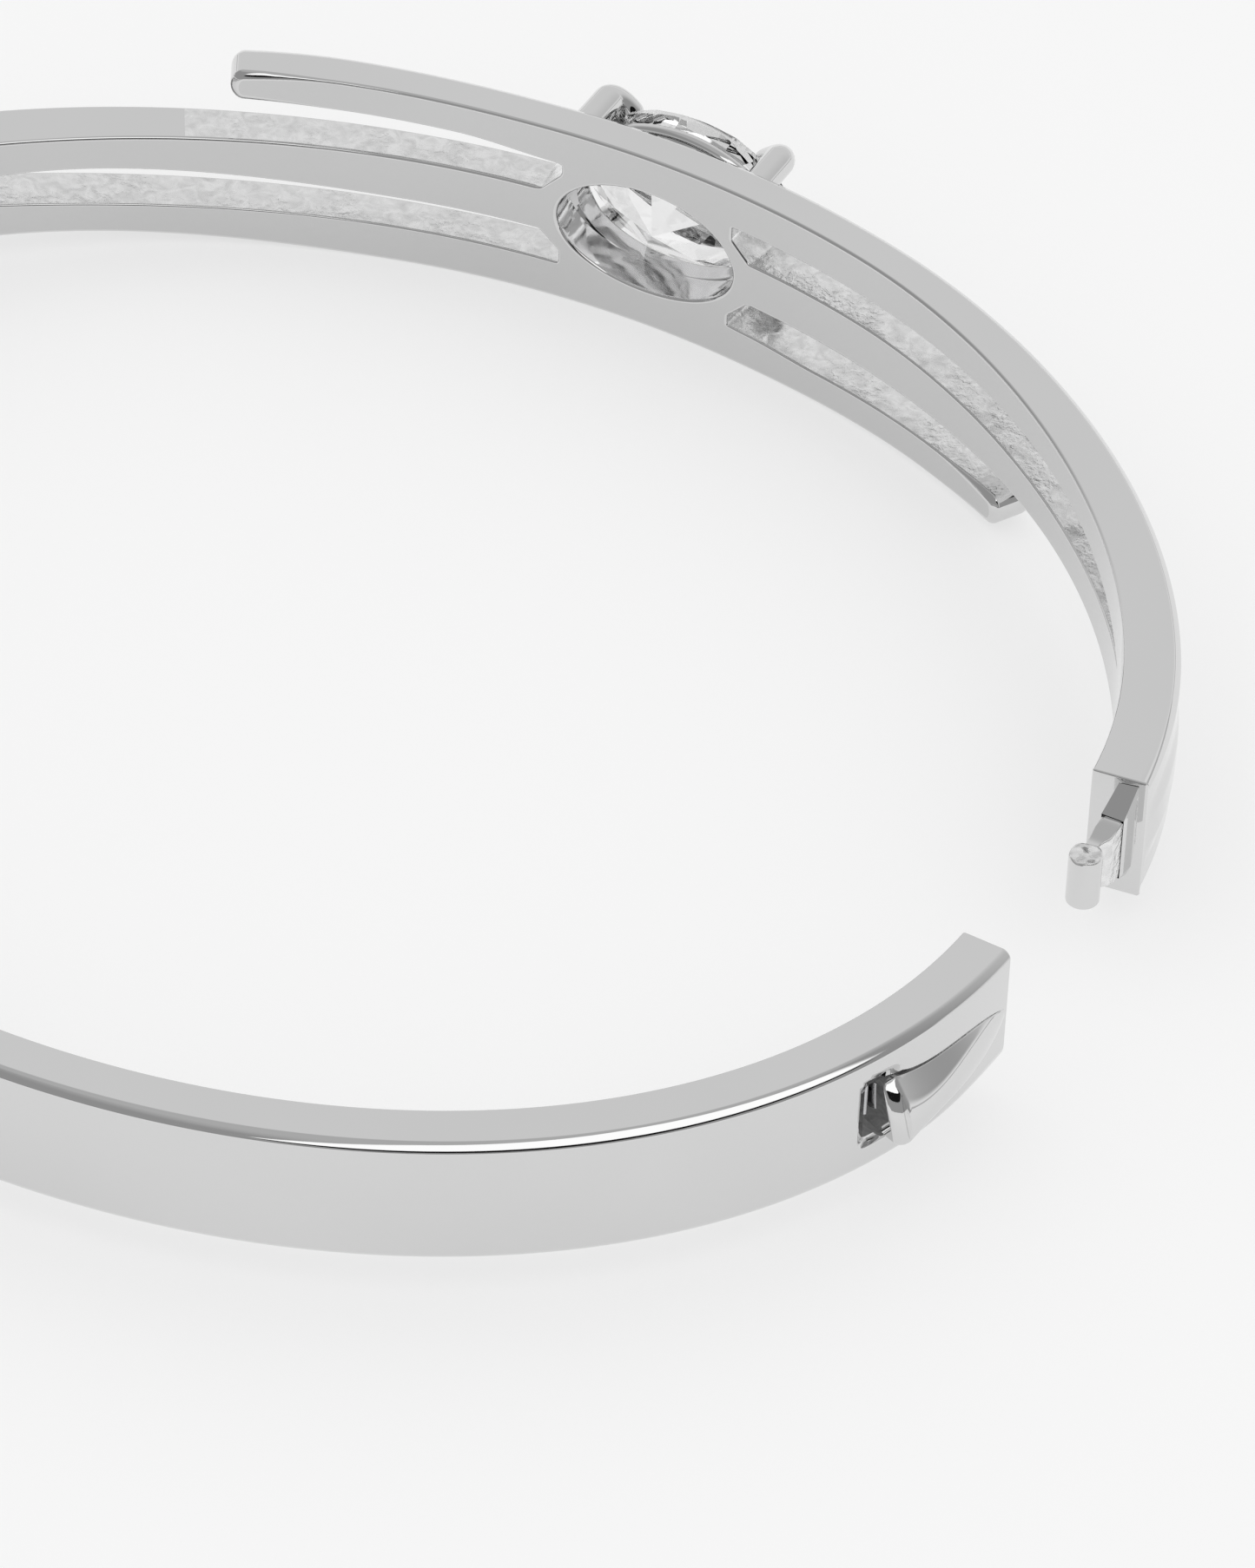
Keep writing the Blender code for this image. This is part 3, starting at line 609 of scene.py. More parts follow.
def hull(name, corners):
    """The convex body round some corners, used as a cutter."""
    bm = bmesh.new()
    for corner in corners:
        bm.verts.new(corner)
    bmesh.ops.convex_hull(bm, input=bm.verts)
    return mesh_from(name, bm, 1)


# Turns a prism drawn in x and y so that it spans Y and z and points out along X
FACING_OUT = Matrix(((0, 0, 1, 0), (1, 0, 0, 0), (0, 1, 0, 0), (0, 0, 0, 1)))


# ---- materials


def principled(name, colour, roughness, metallic=1.0):
    made = bpy.data.materials.new(name)
    made.use_nodes = True
    shader = made.node_tree.nodes["Principled BSDF"]
    shader.inputs["Base Color"].default_value = (*colour, 1)
    shader.inputs["Roughness"].default_value = roughness
    shader.inputs["Metallic"].default_value = metallic
    return made, made.node_tree, shader


def node_of(tree, kind, inputs, output=0, **settings):
    """Adds a node whose inputs are numbers or other nodes' outputs, and gives one of its outputs."""
    node = tree.nodes.new(kind)
    for name, value in settings.items():
        setattr(node, name, value)
    for key, value in inputs.items():
        if isinstance(value, float):
            node.inputs[key].default_value = value
        else:
            tree.links.new(value, node.inputs[key])
    return node.outputs[output]


def noise(tree, scale, detail=3.0, distortion=0.0):
    place = node_of(tree, "ShaderNodeTexCoord", {}, "Object")
    inputs = {"Vector": place, "Scale": float(scale), "Detail": float(detail), "Distortion": distortion}
    return node_of(tree, "ShaderNodeTexNoise", inputs, "Fac")


def ramp(tree, value, low, high):
    """Spreads a value from one (place, level) to another."""
    node = tree.nodes.new("ShaderNodeValToRGB")
    for element, (place, level) in zip(node.color_ramp.elements, (low, high)):
        element.position = place
        element.color = (level, level, level, 1)
    tree.links.new(value, node.inputs["Fac"])
    return node.outputs["Color"]


def vary(tree, shader, key, value, low, high):
    """Lets a shader input follow a texture between two levels."""
    tree.links.new(ramp(tree, value, low, high), shader.inputs[key])


def glow(shader, strength):
    shader.inputs["Emission Color"].default_value = (1, 1, 1, 1)
    shader.inputs["Emission Strength"].default_value = strength


def bump(tree, shader, value, distance, strength):
    inputs = {"Height": value, "Distance": distance, "Strength": strength}
    tree.links.new(node_of(tree, "ShaderNodeBump", inputs, "Normal"), shader.inputs["Normal"])


def polished_silver(name="polished_silver", painted_shade_factor=1.0):
    """Mirror polish, with the faint waviness and haze that hand buffing leaves; a shade factor below one
    darkens the base colour as painted shade.
    """
    made, tree, shader = principled(name, (0.70, 0.70, 0.703), 0.05)
    vary(tree, shader, "Roughness", noise(tree, 260, 4), (0.3, 0.035), (0.75, 0.06))
    # Base colour times the shade factor: painted shade where that factor is below one
    vary(tree, shader, "Base Color", noise(tree, 90, 2), (0.3, 0.685 * painted_shade_factor), (0.7, 0.71 * painted_shade_factor))
    bump(tree, shader, noise(tree, 140, 1), 2e-6, 0.5)
    return made


def cast_silver():
    """The walls of the slots, plated but never polished: a sparkling grain with smoother stretches."""
    made, tree, shader = principled("cast_silver", (0.72, 0.72, 0.72), 0.25)
    patches = ramp(tree, noise(tree, 420, 2), (0.42, 0.0), (0.62, 1.0))
    grain = noise(tree, 5200, 6, 0.4)
    lumps = noise(tree, 1900, 3, 0.8)
    mixed = node_of(tree, "ShaderNodeMath", {0: lumps, 1: 1.6, 2: grain}, operation="MULTIPLY_ADD")
    weighted = node_of(tree, "ShaderNodeMath", {0: mixed, 1: patches}, operation="MULTIPLY")
    bump(tree, shader, weighted, 6e-5, 0.8)
    vary(tree, shader, "Roughness", grain, (0.35, 0.14), (0.7, 0.34))
    vary(tree, shader, "Base Color", lumps, (0.3, 0.70), (0.65, 0.88))
    return made


def wavy_silver():
    """Polished by tumbling only: bright, with soft ripples."""
    made, tree, shader = principled("wavy_silver", (0.84, 0.84, 0.843), 0.07)
    bump(tree, shader, noise(tree, 520, 1, 0.8), 9e-5, 0.5)
    vary(tree, shader, "Roughness", noise(tree, 1500, 3), (0.3, 0.04), (0.7, 0.13))
    return made


def steel():
    """Drawn wire and strip."""
    made, tree, shader = principled("pin_steel", (0.60, 0.60, 0.61), 0.3)
    vary(tree, shader, "Roughness", noise(tree, 3000, 4), (0.3, 0.2), (0.7, 0.38))
    bump(tree, shader, noise(tree, 4000, 3), 1.5e-5, 0.6)
    return made


def dark_recess():
    """Unpolished inside of the catch; its faint glow stands for light that bounces about in there."""
    made, tree, shader = principled("catch_recess", (0.6, 0.6, 0.6), 0.45)
    vary(tree, shader, "Base Color", noise(tree, 3500, 4), (0.3, 0.5), (0.7, 0.8))
    bump(tree, shader, noise(tree, 4500, 4, 0.5), 5e-5, 0.8)
    glow(shader, RECESS_GLOW)
    return made


def crystal():
    """A clear, strongly refracting cut stone with the faintest haze on its surface."""
    made, tree, shader = principled("clear_stone", (1.0, 1.0, 1.0), 0.0, 0.0)
    shader.inputs["IOR"].default_value = STONE_IOR
    shader.inputs["Transmission Weight"].default_value = 1.0
    vary(tree, shader, "Roughness", noise(tree, 2200, 2), (0.4, 0.0), (0.9, 0.02))
    return made


SILVER = polished_silver()
# A darker copy of the polish for the inner face of the front band: painted shade
SHADED_INNER_SILVER = polished_silver("inner_silver_painted_shade", INNER_PAINTED_SHADE)
CAST = cast_silver()
WAVY = wavy_silver()
STEEL = steel()
RECESS = dark_recess()
CRYSTAL = crystal()


def piece(name, mesh, body, nodes, materials):
    """Puts a mesh, drawn about the shut wrist opening, in its place and on its body."""
    obj = in_scene(name, mesh)
    for made in materials:
        mesh.materials.append(made)
    place = Matrix.Translation(CENTRE)
    if body != "front_half":
        hinge = Vector((HINGE_X, HINGE_Y, 0)) * MM
        turn = Matrix.Rotation(-math.radians(OPEN_ANGLE), 4, "Z")
        place = place @ Matrix.Translation(hinge) @ turn @ Matrix.Translation(-hinge)
    mesh.transform(place)
    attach(obj, body)
    if nodes:
        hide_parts(*nodes)
    return obj


# ---- front half


def rim(s, lift):
    """Outer edge of a side bar: it bulges beside the stone and lifts towards its free end."""
    return HALF_BAND + BAR_RISE * (1 - smooth((s - 10) / 23)) + lift * smooth((-s - 4) / 12)


def middle_rim(s):
    """Edge of the middle plate, which flares out to the full height of the band."""
    u = min(max((s - 8) / 26.5, 0.0), 1.2)
    flare = MIDDLE_HALF + (HALF_BAND - MIDDLE_HALF) * u**3
    h = max(RIM_BLEND - abs(flare - HALF_BAND), 0.0) / RIM_BLEND
    return min(flare, HALF_BAND) - h * h * RIM_BLEND / 4


def slot_high(s):
    """Edge of a slot on the side bar's side."""
    u = min(max((s - 8) / (SLOT_TIP[0] - 8), 0.0), 1.0)
    return SLOT_HIGH - (SLOT_HIGH - SLOT_TIP[1]) * u**3.2


def slot_low(s):
    """Edge of a slot on the middle plate's side."""
    return SLOT_LOW - 0.9 * smooth((s - 10) / 17) + (SLOT_TIP[1] - 0.05) * smooth((s - 27) / 4.6)


def free_bar_low(s, lift):
    """Edge of a free bar on the middle plate's side."""
    return FREE_BAR_LOW - 0.24 * (1 - smooth((-s - 4) / 4)) + lift * smooth((-s - 4) / 12)


def stations(first, last):
    """Places on the common grid strictly between two ends, kept off the ends themselves."""
    found = [k * STEP for k in range(math.floor(first / STEP) + 1, math.ceil(last / STEP))]
    return [s for s in found if s - first > 0.2 * STEP and last - s > 0.2 * STEP]


RIM_EDGE = (RIM_OUT, RIM_IN, 0)
SLOT_EDGE = (SLOT_OUT, SLOT_IN, 1)
END_EDGE = (0.09, 0.09, 0)


def free_bar(tip, lift):
    """Lower edge of a free bar from its root to its tip, the round tip, and its rim back to s = 0."""

    def radii(s, out, inner):
        near_tip = smooth((-s - tip + 4) / 4)
        return out + (TIP_OUT - out) * near_tip, inner + (TIP_IN - inner) * near_tip

    notch = [(-SLOT_END_FAR, MIDDLE_HALF, *SLOT_EDGE), (-SLOT_END_NEAR, 1.95, *SLOT_EDGE)]
    notch.append((-SLOT_END_NEAR, 2.4, *SLOT_EDGE))
    beside = stations(-tip + 0.8, -4)
    under = [(s, free_bar_low(s, lift), *radii(s, SLOT_OUT, SLOT_IN), 1) for s in reversed(beside)]
    low, high = free_bar_low(-tip, lift), rim(-tip, lift)
    middle, half = (low + high) / 2, (high - low) / 2
    round_tip = []
    for degrees in range(-80, 81, 16):
        a = math.radians(degrees)
        s, z = -tip + half * 0.8 * (1 - math.cos(a)), middle + half * math.sin(a)
        round_tip.append((s, z, TIP_OUT, TIP_IN, 0))
    over = [(s, rim(s, lift), *radii(s, RIM_OUT, RIM_IN), 0) for s in stations(-tip + 0.8, 0)]
    return notch + under + round_tip + over


def plate_rim(s, cast_reach):
    """Rim of the middle plate: crisp beside a free bar, and cast as far as a given length."""
    in_notch = smooth((UPPER_TIP + 14 - abs(s)) / 6)
    out = RIM_OUT + (SLOT_OUT - RIM_OUT) * in_notch
    return s, middle_rim(abs(s)), out, RIM_IN, 1 if abs(s) < cast_reach else 0


def front_outline():
    """The whole outline of the front half, clockwise from the hinge end."""
    upper = [(FRONT_HINGE_S, HALF_BAND, *RIM_EDGE)]
    upper += [plate_rim(s, UPPER_TIP + 1.5) for s in stations(FRONT_HINGE_S, -SLOT_END_FAR)]
    upper += free_bar(UPPER_TIP, TIP_LIFT)
    upper += [(s, rim(s, 0), *RIM_EDGE) for s in [0.0] + stations(0, CATCH_S)]
    upper.append((CATCH_S, HALF_BAND, *END_EDGE))
    lower = [(CATCH_S, HALF_BAND, *END_EDGE)]
    lower += [plate_rim(s, UPPER_TIP + 8) for s in reversed(stations(SLOT_END_FAR, CATCH_S))]
    lower += [(-s, z, *rest) for s, z, *rest in free_bar(LOWER_TIP, -TIP_LIFT)]
    lower += [(-s, rim(s, 0), *RIM_EDGE) for s in [0.0] + stations(0, -FRONT_HINGE_S)]
    lower.append((FRONT_HINGE_S, HALF_BAND, *END_EDGE))
    return upper + [(s, -z, *rest) for s, z, *rest in lower]


def slot_outline(side):
    places = stations(SLOT_END_FAR, SLOT_TIP[0])
    high = [(SLOT_END_NEAR, 1.75), (SLOT_END_NEAR, SLOT_HIGH)] + [(s, slot_high(s)) for s in places]
    low = [(s, slot_low(s)) for s in reversed(places)] + [(SLOT_END_FAR, SLOT_LOW)]
    return [(side * s, side * z, *SLOT_EDGE) for s, z in high + [SLOT_TIP] + low]


def front_thickness(s):
    """The front half is thinner at the stone than at its ends."""
    return PLATE_THICKNESS + (BAND_THICKNESS - PLATE_THICKNESS) * smooth((abs(s) - 8) / 20)


def front_relief(s, z):
    """Outer surface of the front half: a soft drop-shaped swell ends at the catch."""
    along = smooth((s - (CATCH_S - 9.5)) / 7.5)
    half = 0.25 + 1.0 * along
    before_end = 1 - smooth((s - (CATCH_S - 2.0)) / 2.2)
    across = 1 - smooth((abs(z) / half - 0.45) / 0.75)
    return front_thickness(s) + SWELL * along * before_end * across


def build_front_frame():
    loops = [
        soften(front_outline(), 0.12),
        soften(slot_outline(1), 0.12),
        soften(slot_outline(-1), 0.12),
        oval_loop(HOLE_HALF, 96, 0.04, 0.13, 2),
    ]
    fine = (((CATCH_S - 10, -1.9), (CATCH_S - 0.2, 1.9), (0.25, 0.16)),)
    mesh = rounded_solid("front_band", loops, front_relief, lambda s, z: 0.0, OVAL.wrap, fine=fine, under=3)
    # Slot 3, the inner face, takes the darker copy of the polish, which is painted shade
    looks = [SILVER, CAST, WAVY, SHADED_INNER_SILVER]
    return piece("front_band", mesh, "front_half", ["front_frame"], looks)


# ---- stone and setting


def facing_stone(flat, normal):
    """Drawn face up in x and y: turns the sheet so that its height runs along +Y of the bangle."""
    turn = Matrix(((1, 0, 0), (0, 0, 1), (0, 1, 0)))
    return turn @ Vector(flat), turn @ Vector(normal)


def facets():
    """Planes of an oval brilliant of girdle radius 1, as (normal, distance) with the table at +Y."""
    crown = (TABLE_Y - GIRDLE_Y - 0.09) / 4.0
    pavilion = (GIRDLE_Y - 0.09 - CULET_Y) / 4.0
    edge = 0.022
    planes = []

    def ring(slope, through, count, turn, side=1):
        """Facets all round that slope inwards, each through a point at (distance out, height)."""
        slope = math.radians(slope)
        for k in range(count):
            a = 2 * math.pi * (k + turn) / count
            out, up = Vector((math.cos(a), 0, math.sin(a))), Vector((0, side, 0))
            normal = out * math.sin(slope) + up * math.cos(slope)
            planes.append((normal, normal.dot(out * through[0] + up * through[1])))

    main = math.degrees(math.atan(crown / (1 - TABLE_SHARE)))
    ring(main, (1, edge), 8, 0)
    ring(main + 7, (1, edge * 1.1), 16, 0.5)
    ring(main - 11, (TABLE_SHARE * 0.94, crown + edge), 8, 0.5)
    planes.append((Vector((0, 1, 0)), crown + edge))
    back = math.degrees(math.atan(pavilion))
    ring(back, (1, edge), 8, 0, -1)
    ring(back + 2.2, (1, edge * 1.1), 16, 0.5, -1)
    return planes


def build_stone():
    bm = bmesh.new()
    upright = Matrix.Rotation(math.pi / 2, 4, "X")
    bmesh.ops.create_cone(bm, cap_ends=True, segments=96, radius1=1, radius2=1, depth=3, matrix=upright)
    for normal, distance in facets():
        geometry = bm.verts[:] + bm.edges[:] + bm.faces[:]
        through = normal * distance
        sliced = bmesh.ops.bisect_plane(
            bm, geom=geometry, dist=1e-6, plane_co=through, plane_no=normal, clear_outer=True
        )
        rim_edges = [e for e in sliced["geom_cut"] if isinstance(e, bmesh.types.BMEdge)]
        if rim_edges:
            bmesh.ops.contextual_create(bm, geom=rim_edges)
    bm.transform(Matrix.Diagonal((STONE_HALF[0], 4.0, STONE_HALF[1], 1)))
    bm.transform(Matrix.Translation((0, GIRDLE_Y, 0)))
    mesh = mesh_from("cut_stone", bm, 0)
    piece("cut_stone", mesh, "front_half", ["center_stone"], [CRYSTAL])


def build_collar():
    """Oval tube from the plate to the stone, which carries the bore on, with a rippled inner wall."""
    foot = front_thickness(0) + OPENING_HALF_DEPTH - 0.25
    outer = oval_loop([h + COLLAR_WALL for h in HOLE_HALF], 96, 0.12, 0.02, 0)
    inner = oval_loop([h - 0.005 for h in HOLE_HALF], 96, 0.12, 0.02, 1)
    mesh = slab("collar", [outer, inner], foot, COLLAR_TOP_Y, place=facing_stone)
    piece("collar", mesh, "front_half", ["setting_collar"], [SILVER, WAVY])


def wire(name, points, radii, cyclic=False, sides=20):
    """Round wire along a smooth path; an open one is closed with flat caps."""
    solid = Solid()
    path = [Vector(p) for p in points]
    count = len(path)
    rings = []
    frame_up = None
    for k, here in enumerate(path):
        after = (k + 1) % count if cyclic else min(k + 1, count - 1)
        before = k - 1 if cyclic else max(k - 1, 0)
        run = path[after] - path[before]
        along = run.normalized()
        if frame_up is None:
            frame_up = along.orthogonal().normalized()
        frame_up = (frame_up - along * frame_up.dot(along)).normalized()
        side = along.cross(frame_up)
        growth = 0.0 if cyclic else (radii[after] - radii[before]) / run.length
        ring = []
        for j in range(sides):
            a = 2 * math.pi * j / sides
            out = frame_up * math.cos(a) + side * math.sin(a)
            ring.append(solid.add(here + out * radii[k], (out - along * growth).normalized()))
        rings.append(ring)
    solid.skin(rings + rings[:1] if cyclic else rings)
    if not cyclic:
        for ring, centre, inside in ((rings[0][::-1], path[0], path[1]), (rings[-1], path[-1], path[-2])):
            direction = (centre - inside).normalized()
            corners = [solid.add(solid.points[i], direction) for i in ring]
            middle = solid.add(centre, direction)
            for j in range(sides):
                solid.face([middle, corners[j], corners[(j + 1) % sides]])
    return mesh_of(name, solid)


def build_rail():
    places = [(x, RAIL_Y, z) for x, z in oval_loop(RAIL_HALF, 96)]
    mesh = wire("rail", places, [RAIL_RADIUS] * 96, True, 16)
    piece("rail", mesh, "front_half", ["gallery_rail"], [SILVER])


def prong_path(side_x, side_z):
    """Centre line and radius of a claw, from the plate up, over the girdle, to a round tip."""
    foot, tip = Vector(PRONG_FOOT), Vector(PRONG_TIP)
    start_y = OPENING_HALF_DEPTH + front_thickness(foot.x) - 0.25
    bend_y = GIRDLE_Y - 0.1
    top_y = PRONG_TOP_Y - PRONG_RADIUS * 0.88
    places = [(foot.x, y, foot.y) for y in steps_between(start_y, bend_y, 8)]
    radii = [PRONG_RADIUS] * len(places)
    for a in (math.pi / 2 * k / 12 for k in range(1, 13)):
        flat = foot.lerp(tip, 0.92 * (1 - math.cos(a)))
        places.append((flat.x, bend_y + (top_y - bend_y) * math.sin(a), flat.y))
        radii.append(PRONG_RADIUS * (1 - 0.1 * math.sin(a)))
    inward = Vector((tip.x - foot.x, 0, tip.y - foot.y)).normalized()
    end, radius = Vector(places[-1]), radii[-1]
    for degrees in range(10, 90, 8):
        a = math.radians(degrees)
        places.append(tuple(end + inward * radius * math.sin(a)))
        radii.append(radius * math.cos(a))
    return [(side_x * x, y, side_z * z) for x, y, z in places], radii


def build_prongs():
    for number, (side_x, side_z) in enumerate(((-1, 1), (1, 1), (1, -1), (-1, -1)), 1):
        name = "claw_%d" % number
        mesh = wire(name, *prong_path(side_x, side_z), sides=28)
        piece(name, mesh, "front_half", ["prong_%d" % number], [SILVER])


# ---- tongue and hook bar


def catch_point(radial, reach):
    return (SPLIT_X + radial, CATCH_SPLIT_Y - reach)


def build_tongue():
    loop = [(*catch_point(*place), 0.05, 0.05, 1) for place in TONGUE_OUTLINE]

    def half(u, v):
        return TONGUE_HALF - 0.3 * smooth((CATCH_SPLIT_Y - v - 0.5) / 1.5)

    loops = [soften(loop, 0.1)]
    mesh = rounded_solid("tongue_plate", loops, half, lambda u, v: -half(u, v), grid=(0.2, 0.2), segments=3)
    piece("tongue_plate", mesh, "front_half", ["tongue"], [SILVER, CAST])


def flat_panel(solid, corners):
    """One flat face with its own normal, turned to face away from the middle of the tongue."""
    middle = Vector((*catch_point(1.2, 0.2), 0))
    normal = (corners[1] - corners[0]).cross(corners[2] - corners[0]).normalized()
    if normal.dot(corners[0] - middle) < 0:
        corners, normal = corners[::-1], -normal
    solid.face([solid.add(c, normal) for c in corners])


def build_shoulder():
    """Wedge round the root of the tongue, which runs from the band's end down to the plate."""
    wedge = Solid()
    corners = {}
    for side, places in ((1, SHOULDER), (-1, {**SHOULDER, **LOW_SHOULDER})):
        for key, (radial, reach, height) in places.items():
            corners[side, key] = Vector((*catch_point(radial, reach), side * height))
    for side in (-1, 1):
        for keys in (
            ("top_in", "top_out", "crease_out", "crease_in"),
            ("top_out", "face_out", "crease_out"),
            ("top_in", "crease_in", "face_in"),
        ):
            flat_panel(wedge, [corners[side, k] for k in keys])
    for face, crease in (("face_out", "crease_out"), ("face_in", "crease_in")):
        flat_panel(wedge, [corners[1, face], corners[1, crease], corners[-1, crease], corners[-1, face]])
    mesh = mesh_of("tongue_shoulder", wedge)
    piece("tongue_shoulder", mesh, "front_half", [], [SILVER, CAST])


def build_hook():
    def top(u, v):
        return HOOK_HALF + 0.05 * math.sin(7 * u + 2) * math.sin(6 * v)

    loop = circle(catch_point(HOOK_RADIAL, HOOK_REACH), HOOK_RADIUS, 40, 0.1, 0.08, 0)
    mesh = rounded_solid("hook", [loop], top, lambda u, v: -HOOK_HALF, grid=(0.12, 0.12), segments=3)
    for polygon in mesh.polygons:
        if polygon.normal.z > 0.6:
            polygon.material_index = 1
    piece("hook", mesh, "front_half", ["hook_bar"], [SILVER, CAST])


# ---- hinge


def knuckle_outline(side):
    """Barrel and arm of a hinge knuckle seen from above; side is 1 towards the front half."""
    half = BACK_THICKNESS / 2 - 0.02
    meet = math.degrees(math.asin(half / KNUCKLE_RADIUS))
    turns = [math.radians(90 + meet + (360 - 2 * meet) * k / 32) for k in range(33)]
    loop = [(KNUCKLE_RADIUS * math.cos(a), KNUCKLE_RADIUS * math.sin(a)) for a in turns]
    loop += [(half, HINGE_END + 0.1), (-half, HINGE_END + 0.1)]
    return [(HINGE_X + side * x, HINGE_Y + side * y) for x, y in loop]


def build_hinge():
    axis = (HINGE_X, HINGE_Y)
    bore = circle(axis, PIN_RADIUS + 0.02, 36, 0.04, 0.04, 0)
    for node, low, high, side, body in (
        ("front_knuckle_upper", KNUCKLE_SPLIT + 0.03, HALF_BAND - 0.06, 1, "front_half"),
        ("front_knuckle_lower", -HALF_BAND + 0.06, -KNUCKLE_SPLIT - 0.03, 1, "front_half"),
        ("back_knuckle", -KNUCKLE_SPLIT + 0.03, KNUCKLE_SPLIT - 0.03, -1, "back_half"),
    ):
        outline = soften([(*point, 0.1, 0.1, 0) for point in knuckle_outline(side)], 0.15)
        mesh = slab(node + "_shown", [outline, bore], low, high, (0.4, 0.4), 3)
        piece(node + "_shown", mesh, body, [node], [SILVER])
    half = HALF_BAND - 0.03
    mesh = slab("hinge_rivet", [circle(axis, PIN_RADIUS, 36, 0.12, 0.12, 0)], -half, half, (0.2, 0.2), 4)
    piece("hinge_rivet", mesh, "front_half", ["hinge_pin"], [STEEL])


# ---- back half


LEVER_CURVE = np.polyfit([y for y, _ in LEVER_HALF], [h for _, h in LEVER_HALF], 3)


def lever_half(y):
    y = min(max(y, LEVER_HALF[-1][0]), LEVER_HALF[0][0])
    return float(np.polyval(LEVER_CURVE, y))


def lever_outline(margin=0.0):
    """Teardrop of the lever as Y and z, pointed towards the split, and fuller on its lower side."""
    corner = 0.5
    side = [(y, lever_half(y) + margin) for y in steps_between(LEVER_ROOT_Y, LEVER_FREE_Y + corner, 24)]
    widest = LEVER_HALF[-1][1] + margin
    for degrees in range(15, 90, 15):
        a = math.radians(degrees)
        y = LEVER_FREE_Y - margin + corner * (1 - math.sin(a))
        side.append((y, widest - corner * (1 - math.cos(a))))

    def shifted(y, z):
        u = min(max((LEVER_ROOT_Y - y) / (LEVER_ROOT_Y - LEVER_FREE_Y), 0.0), 1.0)
        return (y, z - LEVER_DROP * u)

    return [shifted(y, z) for y, z in side] + [shifted(y, -z * LEVER_FULLER) for y, z in reversed(side)]


def dish(s, z):
    """Depth of the hollow round the nail slot: a slanting border on the slot's far side and above it."""
    beyond = max(s - SLOT_FAR_S, 0.0)
    above = max(abs(z + LEVER_DROP) - BOX_HALF + 0.3, 0.0)
    away = math.hypot(beyond / 0.45, above / (0.7 if z > 0 else 0.12))
    near = smooth((s - DISH_S + 1.4) / 1.0)
    return 0.30 * near * max(1 - away, 0.0)


SLOT_FAR_S = length_at_y(SLOT_END_Y)
DISH_S = length_at_y(-4.4)


def nail_slot_outline():
    half, corner = BOX_HALF - 0.17, 0.3
    low_y, high_y = SLOT_END_Y, LEVER_FREE_Y + 0.4
    corners = []
    for degrees in range(0, 91, 15):
        a = math.radians(degrees)
        corners.append((low_y + corner * (1 - math.sin(a)), half - corner * (1 - math.cos(a))))
    outline = [(high_y, -half), (high_y, half)] + corners + [(y, -z) for y, z in reversed(corners)]
    return [(y, z - LEVER_DROP) for y, z in outline]


def catch_box_outline():
    places = steps_between(CATCH_SPLIT_Y, BOX_END_Y, 12)
    open_end = [(wall_x(CATCH_SPLIT_Y, radial), CATCH_SPLIT_Y + 1) for radial in (BOX_OUTER, BOX_INNER)]
    inner = [(wall_x(y, BOX_INNER), y) for y in places]
    outer = [(wall_x(y, BOX_OUTER), y) for y in reversed(places)]
    return outer + open_end + inner


def back_section(s):
    """Points round the back half: flat inside, softly rounded rims outside, and the dish by the catch."""
    near_end = 1 - smooth((s - BACK_START_S) / 5)
    low_rim = BACK_RIM + 0.5 * near_end
    points = []
    for side, outside, radius, start in (
        (-1, 1, low_rim, 180),
        (1, 1, BACK_RIM, 90),
        (1, 0, BACK_INNER_RIM, 0),
        (-1, 0, BACK_INNER_RIM, 270),
    ):
        z0 = side * (HALF_BAND - radius)
        t0 = BACK_FACE - radius if outside else radius
        for k in range(7):
            a = math.radians(start - 15 * k)
            facing = math.radians(start) - lean(math.radians(15 * k), radius)
            normal = (0.0, math.cos(facing), math.sin(facing))
            points.append((z0 + radius * math.cos(a), t0 + radius * math.sin(a), normal))
        if (side, outside) == (-1, 1):
            for z in steps_between(-1.9 + 0.25 * near_end, 1.9, 19):
                depth, slope_s, slope_z = with_slope(dish, s, z)
                points.append((z, BACK_FACE - depth, (slope_s, slope_z, 1.0)))
        if (side, outside) == (1, 0):
            points += [(z, 0.0, (0.0, 0.0, -1.0)) for z in steps_between(1.8, -1.8, 6)]
    return points


def catch_mouth_corners():
    """Lead-in round the box, for the shoulders of the tongue."""
    face = ((0.45, 2.7), (1.91, 2.7), (1.91, -1.5), (1.75, -2.2), (0.45, -2.2))
    throat = ((0.45, 1.51), (1.77, 1.51), (1.77, -1.51), (0.45, -1.51))
    corners = [(*catch_point(radial, -0.3), z) for radial, z in face]
    return corners + [(*catch_point(radial, 0.72), z) for radial, z in throat]


def build_back_band():
    near = DISH_S + 1.9
    places = [BACK_START_S] + list(np.arange(BACK_START_S + 0.3, near, 0.15))
    places += list(np.arange(near, BACK_HINGE_S - 0.3, STEP)) + [BACK_HINGE_S]
    mesh = swept("back_shell", [float(s) for s in places], back_section, 0.08, OVAL.wrap)
    window_floor = wall_x(LEVER_FREE_Y, BOX_OUTER) - 0.4
    cutters = [
        prism("window_cutter", lever_outline(LEVER_GAP), window_floor, BEYOND_X, FACING_OUT),
        prism("slot_cutter", nail_slot_outline(), wall_x(BOX_END_Y, 1.0), BEYOND_X, FACING_OUT),
        prism("box_cutter", catch_box_outline(), -BOX_HALF, BOX_HALF),
        hull("mouth_cutter", catch_mouth_corners()),
    ]
    mesh = cut(mesh, cutters)
    piece("back_shell", mesh, "back_half", ["back_band"], [SILVER, RECESS])


def lever_along(s):
    root, free = length_at_y(LEVER_ROOT_Y), length_at_y(LEVER_FREE_Y + 0.5)
    return min(max((s - root) / (free - root), 0.0), 1.0)


